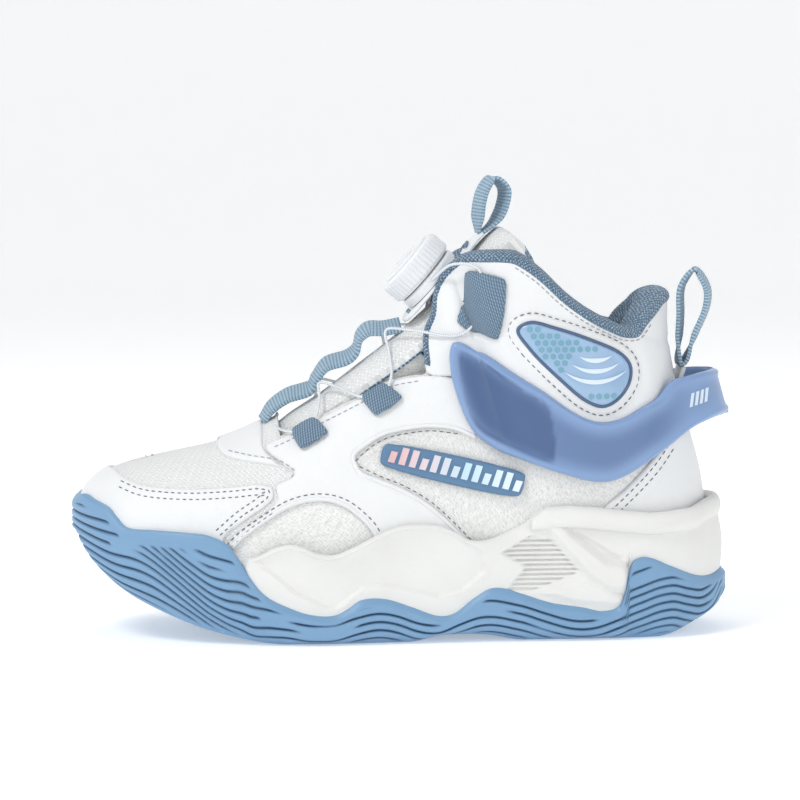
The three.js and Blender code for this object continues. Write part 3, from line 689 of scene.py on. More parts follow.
def build_flecks(effect: Effect) -> None:
    """A flecked knit: small stitches in rows, lightened at random by noise.

    Args:
        effect: The node group that is being built.
    """
    vector = effect.source.outputs["Vector"]
    split = effect.node("ShaderNodeSeparateXYZ", None, Vector=vector)
    scale = effect.source.outputs["Scale"]
    rows = effect.maths("SINE", effect.maths("MULTIPLY", split.outputs["X"], scale))
    lines = effect.maths("SINE", effect.maths("MULTIPLY", split.outputs["Y"], scale))
    stitches = effect.maths("MULTIPLY", rows, lines)
    noise = effect.node("ShaderNodeTexNoise", None, Vector=vector, Scale=1.3, Detail=3.0)
    total = effect.maths("ADD", effect.maths("MULTIPLY", stitches, 0.16), noise.outputs["Fac"])
    fleck = effect.node("ShaderNodeMapRange", {"interpolation_type": "SMOOTHSTEP"}, Value=total, From_Min=0.50,
        From_Max=0.68)
    effect.give(effect.maths("ADD", stitches, noise.outputs["Fac"]), fleck.outputs["Result"])


def build_speckle(effect: Effect) -> None:
    """A fine moulded skin: two sizes of noise.

    Args:
        effect: The node group that is being built.
    """
    vector = effect.source.outputs["Vector"]
    fine = effect.node("ShaderNodeTexNoise", None, Vector=vector, Scale=effect.source.outputs["Scale"], Detail=5.0)
    broad = effect.node("ShaderNodeTexNoise", None, Vector=vector, Scale=60.0, Detail=2.0)
    effect.give(fine.outputs["Fac"], broad.outputs["Fac"])


class Pattern(Enum):
    """The surface effects that a finish may carry."""

    GRAIN = ("leather_grain", build_grain, 1400.0)
    WEAVE = ("ribbed_weave", build_weave, 3.1)
    HONEYCOMB = ("honeycomb_mesh", build_honeycomb, 2.7)
    FIBRES = ("brushed_fibres", build_fibres, 1.1)
    FLECKS = ("flecked_knit", build_flecks, 4.0)
    SPECKLE = ("moulded_skin", build_speckle, 1500.0)

    @property
    def tree(self) -> bpy.types.NodeTree:
        """The node group of this effect."""
        return Effect.get(self.value[0], {"Scale": self.value[2]}, self.value[1])


@dataclass(frozen=True)
class Finish:
    """One procedural finish: two colours mixed by an effect's mask, with bump and gloss."""

    name: str
    slot: str
    colour: tuple[float, float, float]
    second: tuple[float, float, float]
    pattern: Pattern
    rough: float = 0.5
    bump: float = 0.2
    depth: float = 0.0004
    by_uv: bool = False
    coat: float = 0.0
    metallic: float = 0.0
    sheen: float = 0.0
    scale: float | None = None
    # The colour that the groove attribute mixes in: painted shade in the outsole's grooves and on the heel wing.
    groove: tuple[float, float, float] | None = None
    film: bool = False
    glow: float = 0.0

    def material(self) -> bpy.types.Material:
        """Builds the material on first use.

        Returns:
            The Principled material with its effect group.
        """
        if self.name in bpy.data.materials:
            return bpy.data.materials[self.name]
        made = bpy.data.materials.new(self.name)
        made.use_nodes = True
        tree = made.node_tree
        shader = tree.nodes["Principled BSDF"]
        place = tree.nodes.new("ShaderNodeTexCoord").outputs["UV" if self.by_uv else "Object"]
        effect = tree.nodes.new("ShaderNodeGroup")
        effect.node_tree = self.pattern.tree
        tree.links.new(place, effect.inputs["Vector"])
        effect.inputs["Scale"].default_value = self.scale or self.pattern.value[2]
        mix = wire_node(tree, "ShaderNodeMix", {"data_type": "RGBA"}, {})
        tree.links.new(effect.outputs["Mask"], mix.inputs[0])
        mix.inputs[6].default_value = (*self.colour, 1)
        mix.inputs[7].default_value = (*self.second, 1)
        colour = mix.outputs[2]
        if self.film:
            colour = self._film(tree, place)
        # Painted shade, mixed in by the groove attribute.
        if self.groove:
            colour = self._grooves(tree, colour)
        tree.links.new(colour, shader.inputs["Base Color"])
        low = tree.nodes.new("ShaderNodeMapRange")
        low.inputs["To Min"].default_value = max(self.rough - 0.06, 0.04)
        low.inputs["To Max"].default_value = min(self.rough + 0.08, 1)
        tree.links.new(effect.outputs["Mask"], low.inputs["Value"])
        tree.links.new(low.outputs["Result"], shader.inputs["Roughness"])
        bump = wire_node(tree, "ShaderNodeBump", None, {"Strength": self.bump, "Distance": self.depth})
        tree.links.new(effect.outputs["Height"], bump.inputs["Height"])
        tree.links.new(bump.outputs["Normal"], shader.inputs["Normal"])
        plain = {"Coat Weight": self.coat, "Metallic": self.metallic, "Sheen Weight": self.sheen}
        for key, value in plain.items():
            shader.inputs[key].default_value = value
        shader.inputs["Emission Color"].default_value = (1, 1, 1, 1)
        shader.inputs["Emission Strength"].default_value = self.glow
        return made

    def _film(self, tree: bpy.types.NodeTree, place: bpy.types.NodeSocket) -> object:
        """Mixes an iridescent band of pink, white and cyan along the piece.

        Args:
            tree: The material's nodes.
            place: The coordinate socket.

        Returns:
            The colour socket.
        """
        split = wire_node(tree, "ShaderNodeSeparateXYZ", None, {"Vector": place})
        wave = tree.nodes.new("ShaderNodeMath")
        wave.operation = "MULTIPLY_ADD"
        tree.links.new(split.outputs["X"], wave.inputs[0])
        wave.inputs[1].default_value = 19.0
        wave.inputs[2].default_value = 0.18
        ramp = tree.nodes.new("ShaderNodeValToRGB")
        stops = ((0.0, (0.72, 0.42, 0.42)), (0.3, (0.75, 0.62, 0.66)), (0.6, (0.55, 0.75, 0.86)),
            (1.0, (0.78, 0.88, 0.92)))
        for number, (at, tone) in enumerate(stops):
            stop = ramp.color_ramp.elements[number] if number < 2 else ramp.color_ramp.elements.new(at)
            stop.position = at
            stop.color = (*tone, 1)
        tree.links.new(wave.outputs[0], ramp.inputs[0])
        return ramp.outputs["Color"]

    def _grooves(self, tree: bpy.types.NodeTree, colour: bpy.types.NodeSocket) -> object:
        """Mixes in painted shade where the mesh's groove attribute asks for it: shade in the outsole's carved
        grooves, and the painted light and shade of the heel wing.

        Args:
            tree: The material's nodes.
            colour: The colour where no shade is painted.

        Returns:
            The colour socket.
        """
        read = wire_node(tree, "ShaderNodeAttribute", {"attribute_name": "groove"}, {})
        mix = wire_node(tree, "ShaderNodeMix", {"data_type": "RGBA"}, {})
        tree.links.new(read.outputs["Fac"], mix.inputs[0])
        tree.links.new(colour, mix.inputs[6])
        mix.inputs[7].default_value = (*self.groove, 1)
        return mix.outputs[2]


LEATHER = Finish("white_coated_leather", "white_leather", (0.79, 0.80, 0.805), (0.83, 0.84, 0.845), Pattern.GRAIN,
    0.42, 0.3, 0.0003)
KNIT = Finish("grey_brushed_knit", "white_mesh", (0.88, 0.88, 0.86), (0.66, 0.665, 0.65), Pattern.FIBRES, 0.9, 0.7,
    0.0006, True, sheen=0.2)
MESH = Finish("white_honeycomb_mesh", "white_mesh", (0.90, 0.90, 0.89), (0.76, 0.765, 0.76), Pattern.HONEYCOMB, 0.8,
    0.7, 0.0006, True, sheen=0.2)
# Its groove colour is painted shade, laid in the carved grooves of the tread and the wall.
RUBBER = Finish("blue_outsole_rubber", "outsole_rubber", (0.175, 0.325, 0.51), (0.20, 0.36, 0.55), Pattern.SPECKLE,
    0.42, 0.15, 0.0002, groove=(0.03, 0.075, 0.14))
FOAM = Finish("ivory_midsole_foam", "midsole_foam", (0.76, 0.755, 0.725), (0.80, 0.80, 0.78), Pattern.SPECKLE, 0.55,
    0.5, 0.0003)
LINING = Finish("blue_flecked_lining", "lining_fabric", (0.09, 0.19, 0.31), (0.50, 0.63, 0.74), Pattern.FLECKS, 0.9,
    0.8, 0.0007, True, sheen=0.3)
WEBBING = Finish("ribbed_blue_webbing", "blue_webbing", (0.085, 0.15, 0.235), (0.27, 0.385, 0.49), Pattern.WEAVE, 0.8,
    0.8, 0.0004, True, sheen=0.2, scale=6.2)
PALE_WEBBING = Finish("ribbed_pale_webbing", "pale_webbing", (0.17, 0.29, 0.40), (0.40, 0.54, 0.65), Pattern.WEAVE,
    0.75, 0.8, 0.0004, True, sheen=0.2, scale=5.0)
# Its groove colour is painted shade, mixed in by the heel wing's mask of painted light and shade.
MOULDING = Finish("blue_wing_moulding", "blue_moulding", (0.215, 0.335, 0.575), (0.235, 0.365, 0.605),
    Pattern.SPECKLE, 0.3, 0.06, 0.0002, coat=0.2, groove=(0.052, 0.105, 0.24))
RIM = Finish("dark_lens_rim", "blue_lens", (0.05, 0.10, 0.19), (0.07, 0.13, 0.23), Pattern.SPECKLE, 0.3, 0.05, 0.0001,
    coat=0.3)
LENS = Finish("blue_clear_lens", "blue_lens", (0.24, 0.39, 0.62), (0.34, 0.50, 0.68), Pattern.SPECKLE, 0.14, 0.03,
    0.0001, coat=0.9)
LENS_MARK = Finish("pale_lens_mark", "blue_lens", (0.66, 0.77, 0.86), (0.70, 0.80, 0.88), Pattern.SPECKLE, 0.3, 0.05,
    0.0001, coat=0.4)
TEAL = Finish("teal_lens_cells", "blue_lens", (0.13, 0.33, 0.44), (0.17, 0.39, 0.50), Pattern.SPECKLE, 0.2, 0.03,
    0.0001, coat=0.8)
BADGE_PLATE = Finish("badge_plate", "badge_film", (0.095, 0.20, 0.34), (0.11, 0.225, 0.38), Pattern.SPECKLE, 0.35,
    0.05, 0.0001)
FILM = Finish("iridescent_film", "badge_film", (0.6, 0.7, 0.8), (0.7, 0.8, 0.9), Pattern.SPECKLE, 0.22, 0.03, 0.0001,
    coat=0.5, film=True)
PLASTIC = Finish("white_dial_plastic", "white_plastic", (0.78, 0.80, 0.82), (0.82, 0.835, 0.85), Pattern.SPECKLE, 0.3,
    0.05, 0.0001)
GRIP = Finish("white_knob_grip", "knob_rubber", (0.74, 0.765, 0.79), (0.78, 0.80, 0.82), Pattern.SPECKLE, 0.5, 0.1,
    0.0002)
WIRE = Finish("white_lace_wire", "lace_wire", (0.80, 0.82, 0.84), (0.50, 0.56, 0.62), Pattern.WEAVE, 0.4, 0.5, 0.0002,
    True, scale=7.0)
THREAD = Finish("grey_thread", "white_leather", (0.11, 0.12, 0.14), (0.17, 0.18, 0.20), Pattern.SPECKLE, 0.7, 0.2,
    0.0001)
PALE_THREAD = Finish("pale_thread", "white_leather", (0.30, 0.31, 0.33), (0.42, 0.43, 0.45), Pattern.SPECKLE, 0.7,
    0.2, 0.0001)
BOARD = Finish("fibre_board", "inner_board", (0.62, 0.58, 0.50), (0.70, 0.66, 0.58), Pattern.SPECKLE, 0.9, 0.3,
    0.0003)
STIFFENER = Finish("stiffener_sheet", "stiffener_board", (0.55, 0.57, 0.60), (0.60, 0.62, 0.65), Pattern.SPECKLE, 0.6,
    0.1, 0.0002)
STEEL = Finish("plated_steel", "screw_steel", (0.58, 0.59, 0.61), (0.64, 0.65, 0.67), Pattern.SPECKLE, 0.3, 0.05,
    0.0001, metallic=1.0)
FLOOR = Finish("pale_floor", "white_leather", (0.93, 0.935, 0.94), (0.94, 0.945, 0.95), Pattern.SPECKLE, 0.8, 0.0,
    0.0001, glow=0.32)


def dress(piece: bpy.types.Object, finish: Finish, body: str | None = "shoe",
    replaces: Sequence[str] = ()) -> bpy.types.Object:
    """Gives a piece its finish, its body and the CAD nodes it stands for.

    Args:
        piece: The finished mesh object.
        finish: Its finish.
        body: The CAD body that it rides on, or None to leave it on no body.
        replaces: CAD nodes that it replaces.

    Returns:
        The same piece.
    """
    piece.data.materials.clear()
    piece.data.materials.append(finish.material())
    if body is not None:
        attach(piece, body)
    if replaces:
        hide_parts(*replaces)
    LOG.info("%s: %d faces on %s", piece.name, len(piece.data.polygons), body)
    return piece


# ---------------------------------------------------------------- panels of the upper

THROAT = [[-52.5, 72.6], [-49.1, 74.8], [-43.4, 77.4], [-31.8, 83.6], [-20.1, 89.6], [-5.3, 97.4], [3.6, 99.4],
    [8, 99.8]]
FRONT_EDGE = [[8, 114.7], [11.1, 122], [11.9, 129.3], [14.6, 135.7], [19.1, 140.2]]
TOPLINE = [
    [22.6, 142.6], [30, 143.2], [39, 143], [42.5, 141.6], [49.7, 136.6], [59.6, 127.6], [68.8, 121.2],
    [78.1, 116.6], [83, 114.8], [87.6, 114.9], [91.1, 118.7], [96, 123], [100, 126.5], [115, 128.5],
]
UNDER_WING = [[20, 98], [30, 89.5], [45, 80.5], [62, 76], [82, 74], [97, 79]]
FORE_WINDOW = [
    [-65.5, 36.4], [-61.2, 40.6], [-52.7, 46.5], [-44.1, 51.6], [-37.3, 53.7], [-30.5, 54.1], [-23.7, 52.3],
    [-17.7, 48], [-13.5, 43.6], [-11.3, 39.7], [-10, 30],
]
MID_WINDOW_TOP = [
    [97, 73.5], [84, 66], [60, 67.5], [42, 71.5], [26, 77], [18.6, 80.2], [9.5, 81.2], [0.5, 80.3], [-8.6, 78.1],
    [-15.7, 73.9], [-19.9, 70.1],
]
MID_WINDOW_FRONT = [[-17.8, 64], [-10.6, 60.7], [-1.6, 57], [7.5, 51.5], [13.8, 46], [22, 37.7], [26, 30]]
QUARTER_FRONT = [[-66.4, 30], [-66.6, 38.4], [-60.2, 44.4], [-51.8, 50.2], [-48.2, 54.4], [-48.8, 58.9], [-42, 63.2],
    [-46.4, 67]]
KNIT_SEAM = [[-66, 37.5], [-60.5, 42.8], [-52, 48.6], [-46.6, 53.6], [-44.8, 58.8], [-41.5, 65]]
CAP_EDGE = [
    [-111.3, 64], [-105.4, 60.6], [-99.3, 58.6], [-90.8, 57.7], [-78, 57.6], [-64.4, 58.6], [-54.2, 59.5],
    [-50, 58.2], [-49.6, 55], [-52.7, 51.7], [-61.2, 45.9], [-68, 40.1], [-69, 24],
]
TAB_EDGE = [[-71.5, 90], [-70, 71], [-65.6, 68.7], [-58.1, 67.5], [-47.6, 66], [-43.4, 63.4]]
HEEL_EDGE = [[67, 30], [73.9, 48.8], [83.3, 57.2], [92, 65.8], [98, 73], [101, 80.8]]
WING_EDGE = [
    [20.6, 112.3], [17.4, 112.2], [16, 107.9], [16.5, 100.7], [18.7, 92.6], [22.2, 83.6], [25.7, 78.2],
    [32.9, 72.8], [45.7, 67.2], [59.3, 62.6], [68.5, 60.2], [75.9, 59.8], [82.4, 61.7], [91.8, 66.9],
    [101.5, 72.9], [111.6, 79.1], [121.6, 82.3], [135, 84], [135, 99.7], [118, 99.7], [109.7, 98.4],
    [102.3, 96.7], [96.4, 91], [89.7, 87.6], [82.4, 84], [75.1, 82.4], [69.6, 83], [61.4, 86.8],
    [50.6, 94.1], [37, 102.3], [26, 109.6],
]
WING_PANEL = [[20, 108.6], [45.8, 93.6], [52.2, 89.7], [54.9, 82.4], [55.9, 68.8], [54.1, 67.4], [36.8, 73.8],
    [26, 80.4], [21.6, 91.7]]
LENS_EDGE = [
    [41.4, 117], [45.9, 119.7], [55, 117.7], [68.7, 113.1], [80.6, 107.6], [84.3, 103], [83.8, 96.6],
    [78.9, 90.3], [73.4, 88.1], [67, 90.4], [56.9, 98.7], [46, 109.6],
]
BADGE_EDGE = [[-8.2, 74.8], [44.4, 63], [42.4, 54.2], [-10.1, 67.3]]


def rounded(outline: Pairs, cut: float = 1.2) -> list[list[float]]:
    """Cuts each corner of an outline into two points, at most `cut` from it, so curves stay tight.

    Args:
        outline: The corners.
        cut: The longest cut, in millimetres.

    Returns:
        The new corners.
    """
    p = np.asarray(outline, float)
    before, after = np.roll(p, 1, axis=0) - p, np.roll(p, -1, axis=0) - p
    first = p + before * np.minimum(cut / np.linalg.norm(before, axis=1), 0.4)[:, None]
    second = p + after * np.minimum(cut / np.linalg.norm(after, axis=1), 0.4)[:, None]
    return np.stack([first, second], axis=1).reshape(-1, 2).tolist()


def moved_line(points: Pairs, distance: float) -> Array:
    """A side-view line moved to its left by a distance, as evenly spaced points.

    Args:
        points: The line.
        distance: How far to the left, in millimetres.

    Returns:
        The moved points.
    """
    line = curve_through(points, 1.0)
    ahead = np.gradient(line, axis=0)
    ahead /= np.linalg.norm(ahead, axis=1, keepdims=True)
    return line + np.stack([-ahead[:, 1], ahead[:, 0]], axis=1) * distance


@dataclass
class Panel:
    """A cut piece of the upper on the last, with a rounded edge.

    The outline is given in side view and carried to the last's own coordinates. Inside it the
    height rises from `base` at the edge to `top` by the arc 1 - (1 - d / edge)^2 under a root.
    """

    name: str
    outline: Pairs
    base: float
    top: float
    whole: bool = False
    edge: float = 1.3
    step: float = 1.9
    wall: float = 0.9
    crown: float = 0.0
    reach: float = 25.0
    stand_off: Callable[[Array], Array] | None = None
    groove: Callable[[Array, Array], Array] | None = None
    # Painted light and shade as a mask, from the side view and the distance to the edge.
    tone: Callable[[Array, Array], Array] | None = None

    def distance(self, w: Array) -> Array:
        """The panel's height above the last, as a function of the place."""
        return self.top + (self.stand_off(w) if self.stand_off else np.zeros(w.shape))

    def build(self) -> list[bpy.types.Object]:
        """Makes the outer and inner pieces, or one whole piece across the middle.

        Returns:
            One or two objects.
        """
        outline = curve_through(self.outline, 0.9, closed=True)
        w, v = LAST.locate(outline, self.distance)
        if self.whole:
            seen = LAST.lift(w, v, self.distance(w))
            over = (outline[:, 1] > seen[:, 2] + 0.05) & (v > 0.8) & (w <= LAST.ridge_end)
            v = np.where(over, 1.0, v)
        places = np.stack([w * LAST.width_mm, v * LAST.height_mm], axis=1)
        keep = np.linalg.norm(places - np.roll(places, 1, axis=0), axis=1) > 0.25
        places = places[keep]
        inner = self._inside(places)
        points = np.vstack([places, inner])
        loop = list(range(len(places)))
        made = delaunay_2d_cdt([Vector(p) for p in points.tolist()], [], [loop], 1, 1e-4)
        flat = np.array([list(p) for p in made[0]])
        faces = np.array([f for f in made[2] if len(f) == 3])
        w, v = flat[:, 0] / LAST.width_mm, flat[:, 1] / LAST.height_mm
        w, v = np.clip(w, 0, 1), np.clip(v, 0, 1)
        body = self._lifted(w, v, places)
        seam = (w < 1e-5) | (w > 1 - 1e-5) | ((v > 1 - 1e-5) & (w <= LAST.ridge_end))
        body[seam & self.whole, 1] = 0
        uv = flat.copy()
        mirror = body * np.array([1, -1, 1])
        if self.whole:
            both = np.vstack([body, mirror])
            tiles = np.vstack([faces, faces[:, ::-1] + len(body)])
            piece = put_mesh(self.name, swung(both), tiles, np.vstack([uv, uv * [-1, 1]]))
            pieces = [tidy_normals(piece, 0.06 * MM)]
        else:
            outer = put_mesh(self.name + "_lateral", swung(body), faces, uv)
            other = put_mesh(self.name + "_medial", swung(mirror), faces[:, ::-1], uv)
            pieces = [outer, other]
        for piece in pieces:
            self._face_out(piece)
            # Stores the painted light and shade.
            if self.tone is not None:
                self._shade(piece)
            if self.wall:
                solidify(piece, self.wall)
        return pieces

    def _inside(self, places: Array) -> Array:
        """Rings of points close inside the edge, then an even field of points.

        Args:
            places: The edge, in the last's own coordinates.

        Returns:
            The inner points.
        """
        dense = resampled(np.vstack([places, places[:1]]), 0.8)
        ahead = np.roll(places, -1, axis=0) - np.roll(places, 1, axis=0)
        ahead /= np.maximum(np.linalg.norm(ahead, axis=1, keepdims=True), 1e-9)
        inward = np.stack([-ahead[:, 1], ahead[:, 0]], axis=1)
        area = np.sum(places[:, 0] * np.roll(places[:, 1], -1) - np.roll(places[:, 0], -1) * places[:, 1])
        inward *= np.sign(area)
        found = []
        for depth in (0.3, 0.75, 1.35, 2.1, 3.0):
            ring = places + inward * depth
            good = inside_polygon(ring, places) & (distance_to(ring, dense) > depth * 0.86)
            found.append(ring[good])
        low, high = places.min(axis=0), places.max(axis=0)
        a, b = np.meshgrid(np.arange(low[0], high[0], self.step), np.arange(low[1], high[1], self.step * 0.87),
            indexing="ij")
        a = a + (np.arange(a.shape[1]) % 2)[None] * self.step / 2
        field_points = np.stack([a.ravel(), b.ravel()], axis=1)
        field_points = field_points[inside_polygon(field_points, places)]
        field_points = field_points[distance_to(field_points, dense) > 3.9]
        return np.vstack([*found, field_points])

    def _lifted(self, w: Array, v: Array, places: Array) -> Array:
        """Points at the panel's height above the last, before the swing, in millimetres.

        Args:
            w: Places round.
            v: Places up.
            places: The edge, in the last's own coordinates.

        Returns:
            Points, in millimetres.
        """
        rim_w, rim_v = places[:, 0] / LAST.width_mm, places[:, 1] / LAST.height_mm
        seam = (rim_w < 1e-4) | (rim_w > 1 - 1e-4) | ((rim_v > 1 - 1e-4) & (rim_w <= LAST.ridge_end))
        free = ~seam if self.whole else np.ones(len(places), dtype=bool)
        rim = resampled(np.vstack([places[free], places[free][:1]]), 0.5) if not self.whole else places[free]
        rim_3d = LAST.lift(rim[:, 0] / LAST.width_mm, rim[:, 1] / LAST.height_mm, self.base)
        ground = LAST.lift(w, v, self.base)
        away = distance_to(ground, rim_3d)
        arc = np.sqrt(np.clip(1 - (1 - np.clip(away / self.edge, 0, 1)) ** 2, 0, 1))
        height = self.base + (self.top - self.base) * arc + self.crown * smoothstep(away, 0, self.reach)
        if self.groove is not None:
            side = ground[:, [0, 2]]
            height = height + self.groove(side, away)
        if self.stand_off is not None:
            height = height + self.stand_off(w)
        return LAST.lift(w, v, height)

    def _shade(self, piece: bpy.types.Object) -> None:
        """Stores the painted light and shade, a function of the side view and the distance to the outline, as the
        groove mask.

        Args:
            piece: The panel, in place.
        """
        count = len(piece.data.vertices)
        spots = np.zeros(count * 3, np.float32)
        piece.data.vertices.foreach_get("co", spots)
        side = spots.reshape(-1, 3)[:, [0, 2]] / MM
        away = np.abs(signed_inside(side, curve_through(self.outline, 1.0, True)))
        add_attribute(piece, "groove", np.clip(self.tone(side, away), 0, 1))

    @staticmethod
    def _face_out(piece: bpy.types.Object) -> None:
        """Turns an open sheet over when most of its faces look at the shoe's middle.

        Args:
            piece: The open sheet.
        """
        count = len(piece.data.polygons)
        normals, centres = np.zeros(count * 3, np.float32), np.zeros(count * 3, np.float32)
        piece.data.polygons.foreach_get("normal", normals)
        piece.data.polygons.foreach_get("center", centres)
        normals, centres = normals.reshape(-1, 3), centres.reshape(-1, 3)
        axis = centres.copy()
        axis[:, 1] = 0
        axis[:, 2] = 0.045
        axis[:, 0] = np.clip(axis[:, 0], -0.09, 0.075)
        if (normals * (centres - axis)).sum() < 0:
            piece.data.flip_normals()


@dataclass
class Stitching:
    """Runs of small raised stitches laid along side-view lines on both sides of the shoe."""

    name: str
    finish: Finish
    pitch: float = 2.7
    length: float = 1.7
    radius: float = 0.23
    height: float = 1.8
    runs: list[Array] = field(default_factory=list)

    def along(self, points: Pairs, *distances: float) -> None:
        """Adds a run at each distance to the left of a line."""
        for distance in distances:
            self.runs.append(resampled(moved_line(points, distance), self.pitch))

    def build(self) -> bpy.types.Object:
        """Makes every stitch as a small spindle: rings of six points, thin at both ends.

        Returns:
            One object that holds both sides' stitches.
        """
        line = np.vstack(self.runs)
        ahead = np.vstack([np.gradient(run, axis=0) for run in self.runs])
        ahead /= np.linalg.norm(ahead, axis=1, keepdims=True)
        ends = []
        for sign in (-0.5, 0.5):
            w, v = LAST.locate(line + ahead * sign * self.length, self.height)
            ends.append((LAST.lift(w, v, self.height), LAST.normal(w, v)))
        start, finish = ends[0][0], ends[1][0]
        normal = (ends[0][1] + ends[1][1]) / 2
        along = finish - start
        side = np.cross(normal, along)
        side /= np.maximum(np.linalg.norm(side, axis=1, keepdims=True), 1e-9)
        share = np.array([0, 0.12, 0.5, 0.88, 1.0])
        girth = np.array([0.1, 0.8, 1.0, 0.8, 0.1]) * self.radius
        angle = np.linspace(0, 2 * math.pi, 6, endpoint=False)
        centre = start[:, None] + along[:, None] * share[None, :, None]
        ring = np.cos(angle)[None, None, :, None] * side[:, None, None] + np.sin(angle)[None, None, :,
            None] * normal[:, None, None]
        points = centre[:, :, None] + ring * girth[None, :, None, None]
        count = len(line)
        tile = np.vstack([grid_faces(5, 6, False, True)])
        faces = (tile[None] + (np.arange(count) * 30)[:, None, None]).reshape(-1, 4)
        body = points.reshape(-1, 3)
        both = np.vstack([swung(body), swung(body * np.array([1, -1, 1]))])
        tiles = np.vstack([faces, faces[:, ::-1] + len(body)])
        piece = put_mesh(self.name, both, tiles)
        fill_spindle_ends(piece)
        return dress(piece, self.finish)


def fill_spindle_ends(piece: bpy.types.Object) -> None:
    """Closes the small open ends of every spindle.

    Args:
        piece: The object of spindles.
    """
    work = bmesh.new()
    work.from_mesh(piece.data)
    bmesh.ops.holes_fill(work, edges=work.edges, sides=8)
    bmesh.ops.recalc_face_normals(work, faces=work.faces)
    work.to_mesh(piece.data)
    work.free()


@dataclass
class Upper:
    """The sewn upper: mesh, leather overlays, trim on them and the stitching."""

    leather_base: float = 0.15
    leather_top: float = 1.7

    def build(self) -> None:
        """Builds every layer from the inside out."""
        self.mesh_layers()
        self.overlays()
        self.lens()
        self.badge()
        self.piping()
        self.stitches()

    def overlay(self, name: str, outline: Pairs, whole: bool = False, **options: object) -> None:
        """Adds one leather overlay, or its pair.

        Args:
            name: The CAD node's name, without its side.
            outline: The side-view outline.
            whole: Whether it runs across the shoe's middle.
            options: Further panel sizes.
        """
        panel = Panel(name + "_leather", outline, self.leather_base, self.leather_top, whole, **options)
        for piece in panel.build():
            side = "" if whole else piece.name[piece.name.rindex("_") :]
            dress(piece, LEATHER, replaces=[name + side])

    def mesh_layers(self) -> None:
        """The vamp and the two quarters of open knit, under the leather."""
        vamp = [[-140, 24], [-66.8, 24], *KNIT_SEAM, [-46, 74], [-52.5, 95], [-140, 95]]
        for piece in Panel("vamp_knit", vamp, 0.35, 0.35, True, wall=1.3).build():
            dress(piece, MESH, replaces=["vamp_mesh"])
        back = [[130, 128], [130, 22]]
        front = [[-67.4, 22], *[[x - 0.6, z + 0.5] for x, z in KNIT_SEAM], [-47, 70.6], [-52.5, 72.4]]
        edge = [[8, 107], [8.4, 114.7], *FRONT_EDGE[1:], *TOPLINE[:-1]]
        for piece in Panel("quarter_knit", rounded([*front, *THROAT[1:], *edge, *back], 0.8), 0, 0, wall=1.0).build():
            dress(piece, KNIT, replaces=["quarter_mesh" + piece.name[piece.name.rindex("_") :]])

    def overlays(self) -> None:
        """Toe cap, throat tab, quarters, collar quarters and heel of white leather."""
        self.overlay("toe_cap", [*CAP_EDGE, [-140, 24], [-140, 64]], True, crown=0.5)
        tab = [*TAB_EDGE, [-48.4, 67.4], [-53.4, 72.4], [-53.4, 90]]
        self.overlay("throat_overlay", rounded(tab, 1.0), True)
        quarter = [*QUARTER_FRONT, *THROAT, *UNDER_WING, *MID_WINDOW_TOP, *MID_WINDOW_FRONT[:-1], [14, 40.4],
            [4, 41.4], [-5, 40.6], *FORE_WINDOW[-2::-1]]
        self.overlay("quarter_overlay", quarter)
        collar = [[8.2, 100.6], *FRONT_EDGE, *TOPLINE, [125, 128], [125, 92], [97, 80],
            *[[x, z + 0.6] for x, z in UNDER_WING[-2::-1]]]
        self.overlay("collar_quarter", collar, crown=0.9, groove=self.collar_crease)
        heel = [*HEEL_EDGE, [126, 92], [130, 92], [130, 22], [67, 22]]
        self.overlay("heel_overlay", heel, True, crown=0.3)

    @staticmethod
    def collar_crease(side: Array, away: Array) -> Array:
        """A sewn channel round the lens and a fold above the heel, as shallow valleys.

        Args:
            side: Side-view points.
            away: Their distance to the edge; not used.

        Returns:
            The change of height, in millimetres.
        """
        channel = signed_inside(side, curve_through(LENS_EDGE, 1.0, True))
        around = -0.9 * np.exp(-(((channel + 3.6) / 1.5) ** 2))
        fold = distance_to(side, resampled(np.array([[90, 114.4], [96, 111.5], [104, 110]]), 0.5))
        return around - 0.5 * np.exp(-((fold / 1.4) ** 2))

    def lens(self) -> None:
        """The ankle lens: a domed clear plate with a dark rim, hexagon cells and plain streaks."""
        rim = curve_through(LENS_EDGE, 1.0, True)
        plate = Panel("ankle_lens_plate", LENS_EDGE, 1.5, 3.1, edge=1.6, crown=0.7, reach=12)
        for piece in plate.build():
            dress(piece, LENS, replaces=["ankle_lens" + piece.name[piece.name.rindex("_") :]])
        self.raised_line("lens_rim", rim, RIM, 2.5, 0.65, closed=True)
        row, column = np.meshgrid(np.arange(13), np.arange(17), indexing="ij")
        centres = np.stack([40 + column * 2.9 + (row % 2) * 1.45, 87 + row * 2.51], axis=-1).reshape(-1, 2)
        depth = signed_inside(centres, rim)
        clear = signed_inside(centres, [[56, 99], [61, 108.5], [79, 108.5], [85, 101], [80, 93], [66, 93]]) < 0.5
        chosen = (depth > 1.9) & clear
        cells = [self.hexagon(c, 1.2) for c in centres[chosen]]
        levels = (3.22 + 0.7 * smoothstep(depth[chosen], 0, 12)).tolist()
        self.flat_marks("lens_cells", cells, TEAL, levels, 0.5)
        arcs = [self.crescent(np.array([70.5, 113.5]), radius, 0.78, 1.7) for radius in (9.0, 13.0, 17.0)]
        self.flat_marks("lens_crescents", arcs, LENS_MARK, 4.0, 0.9)

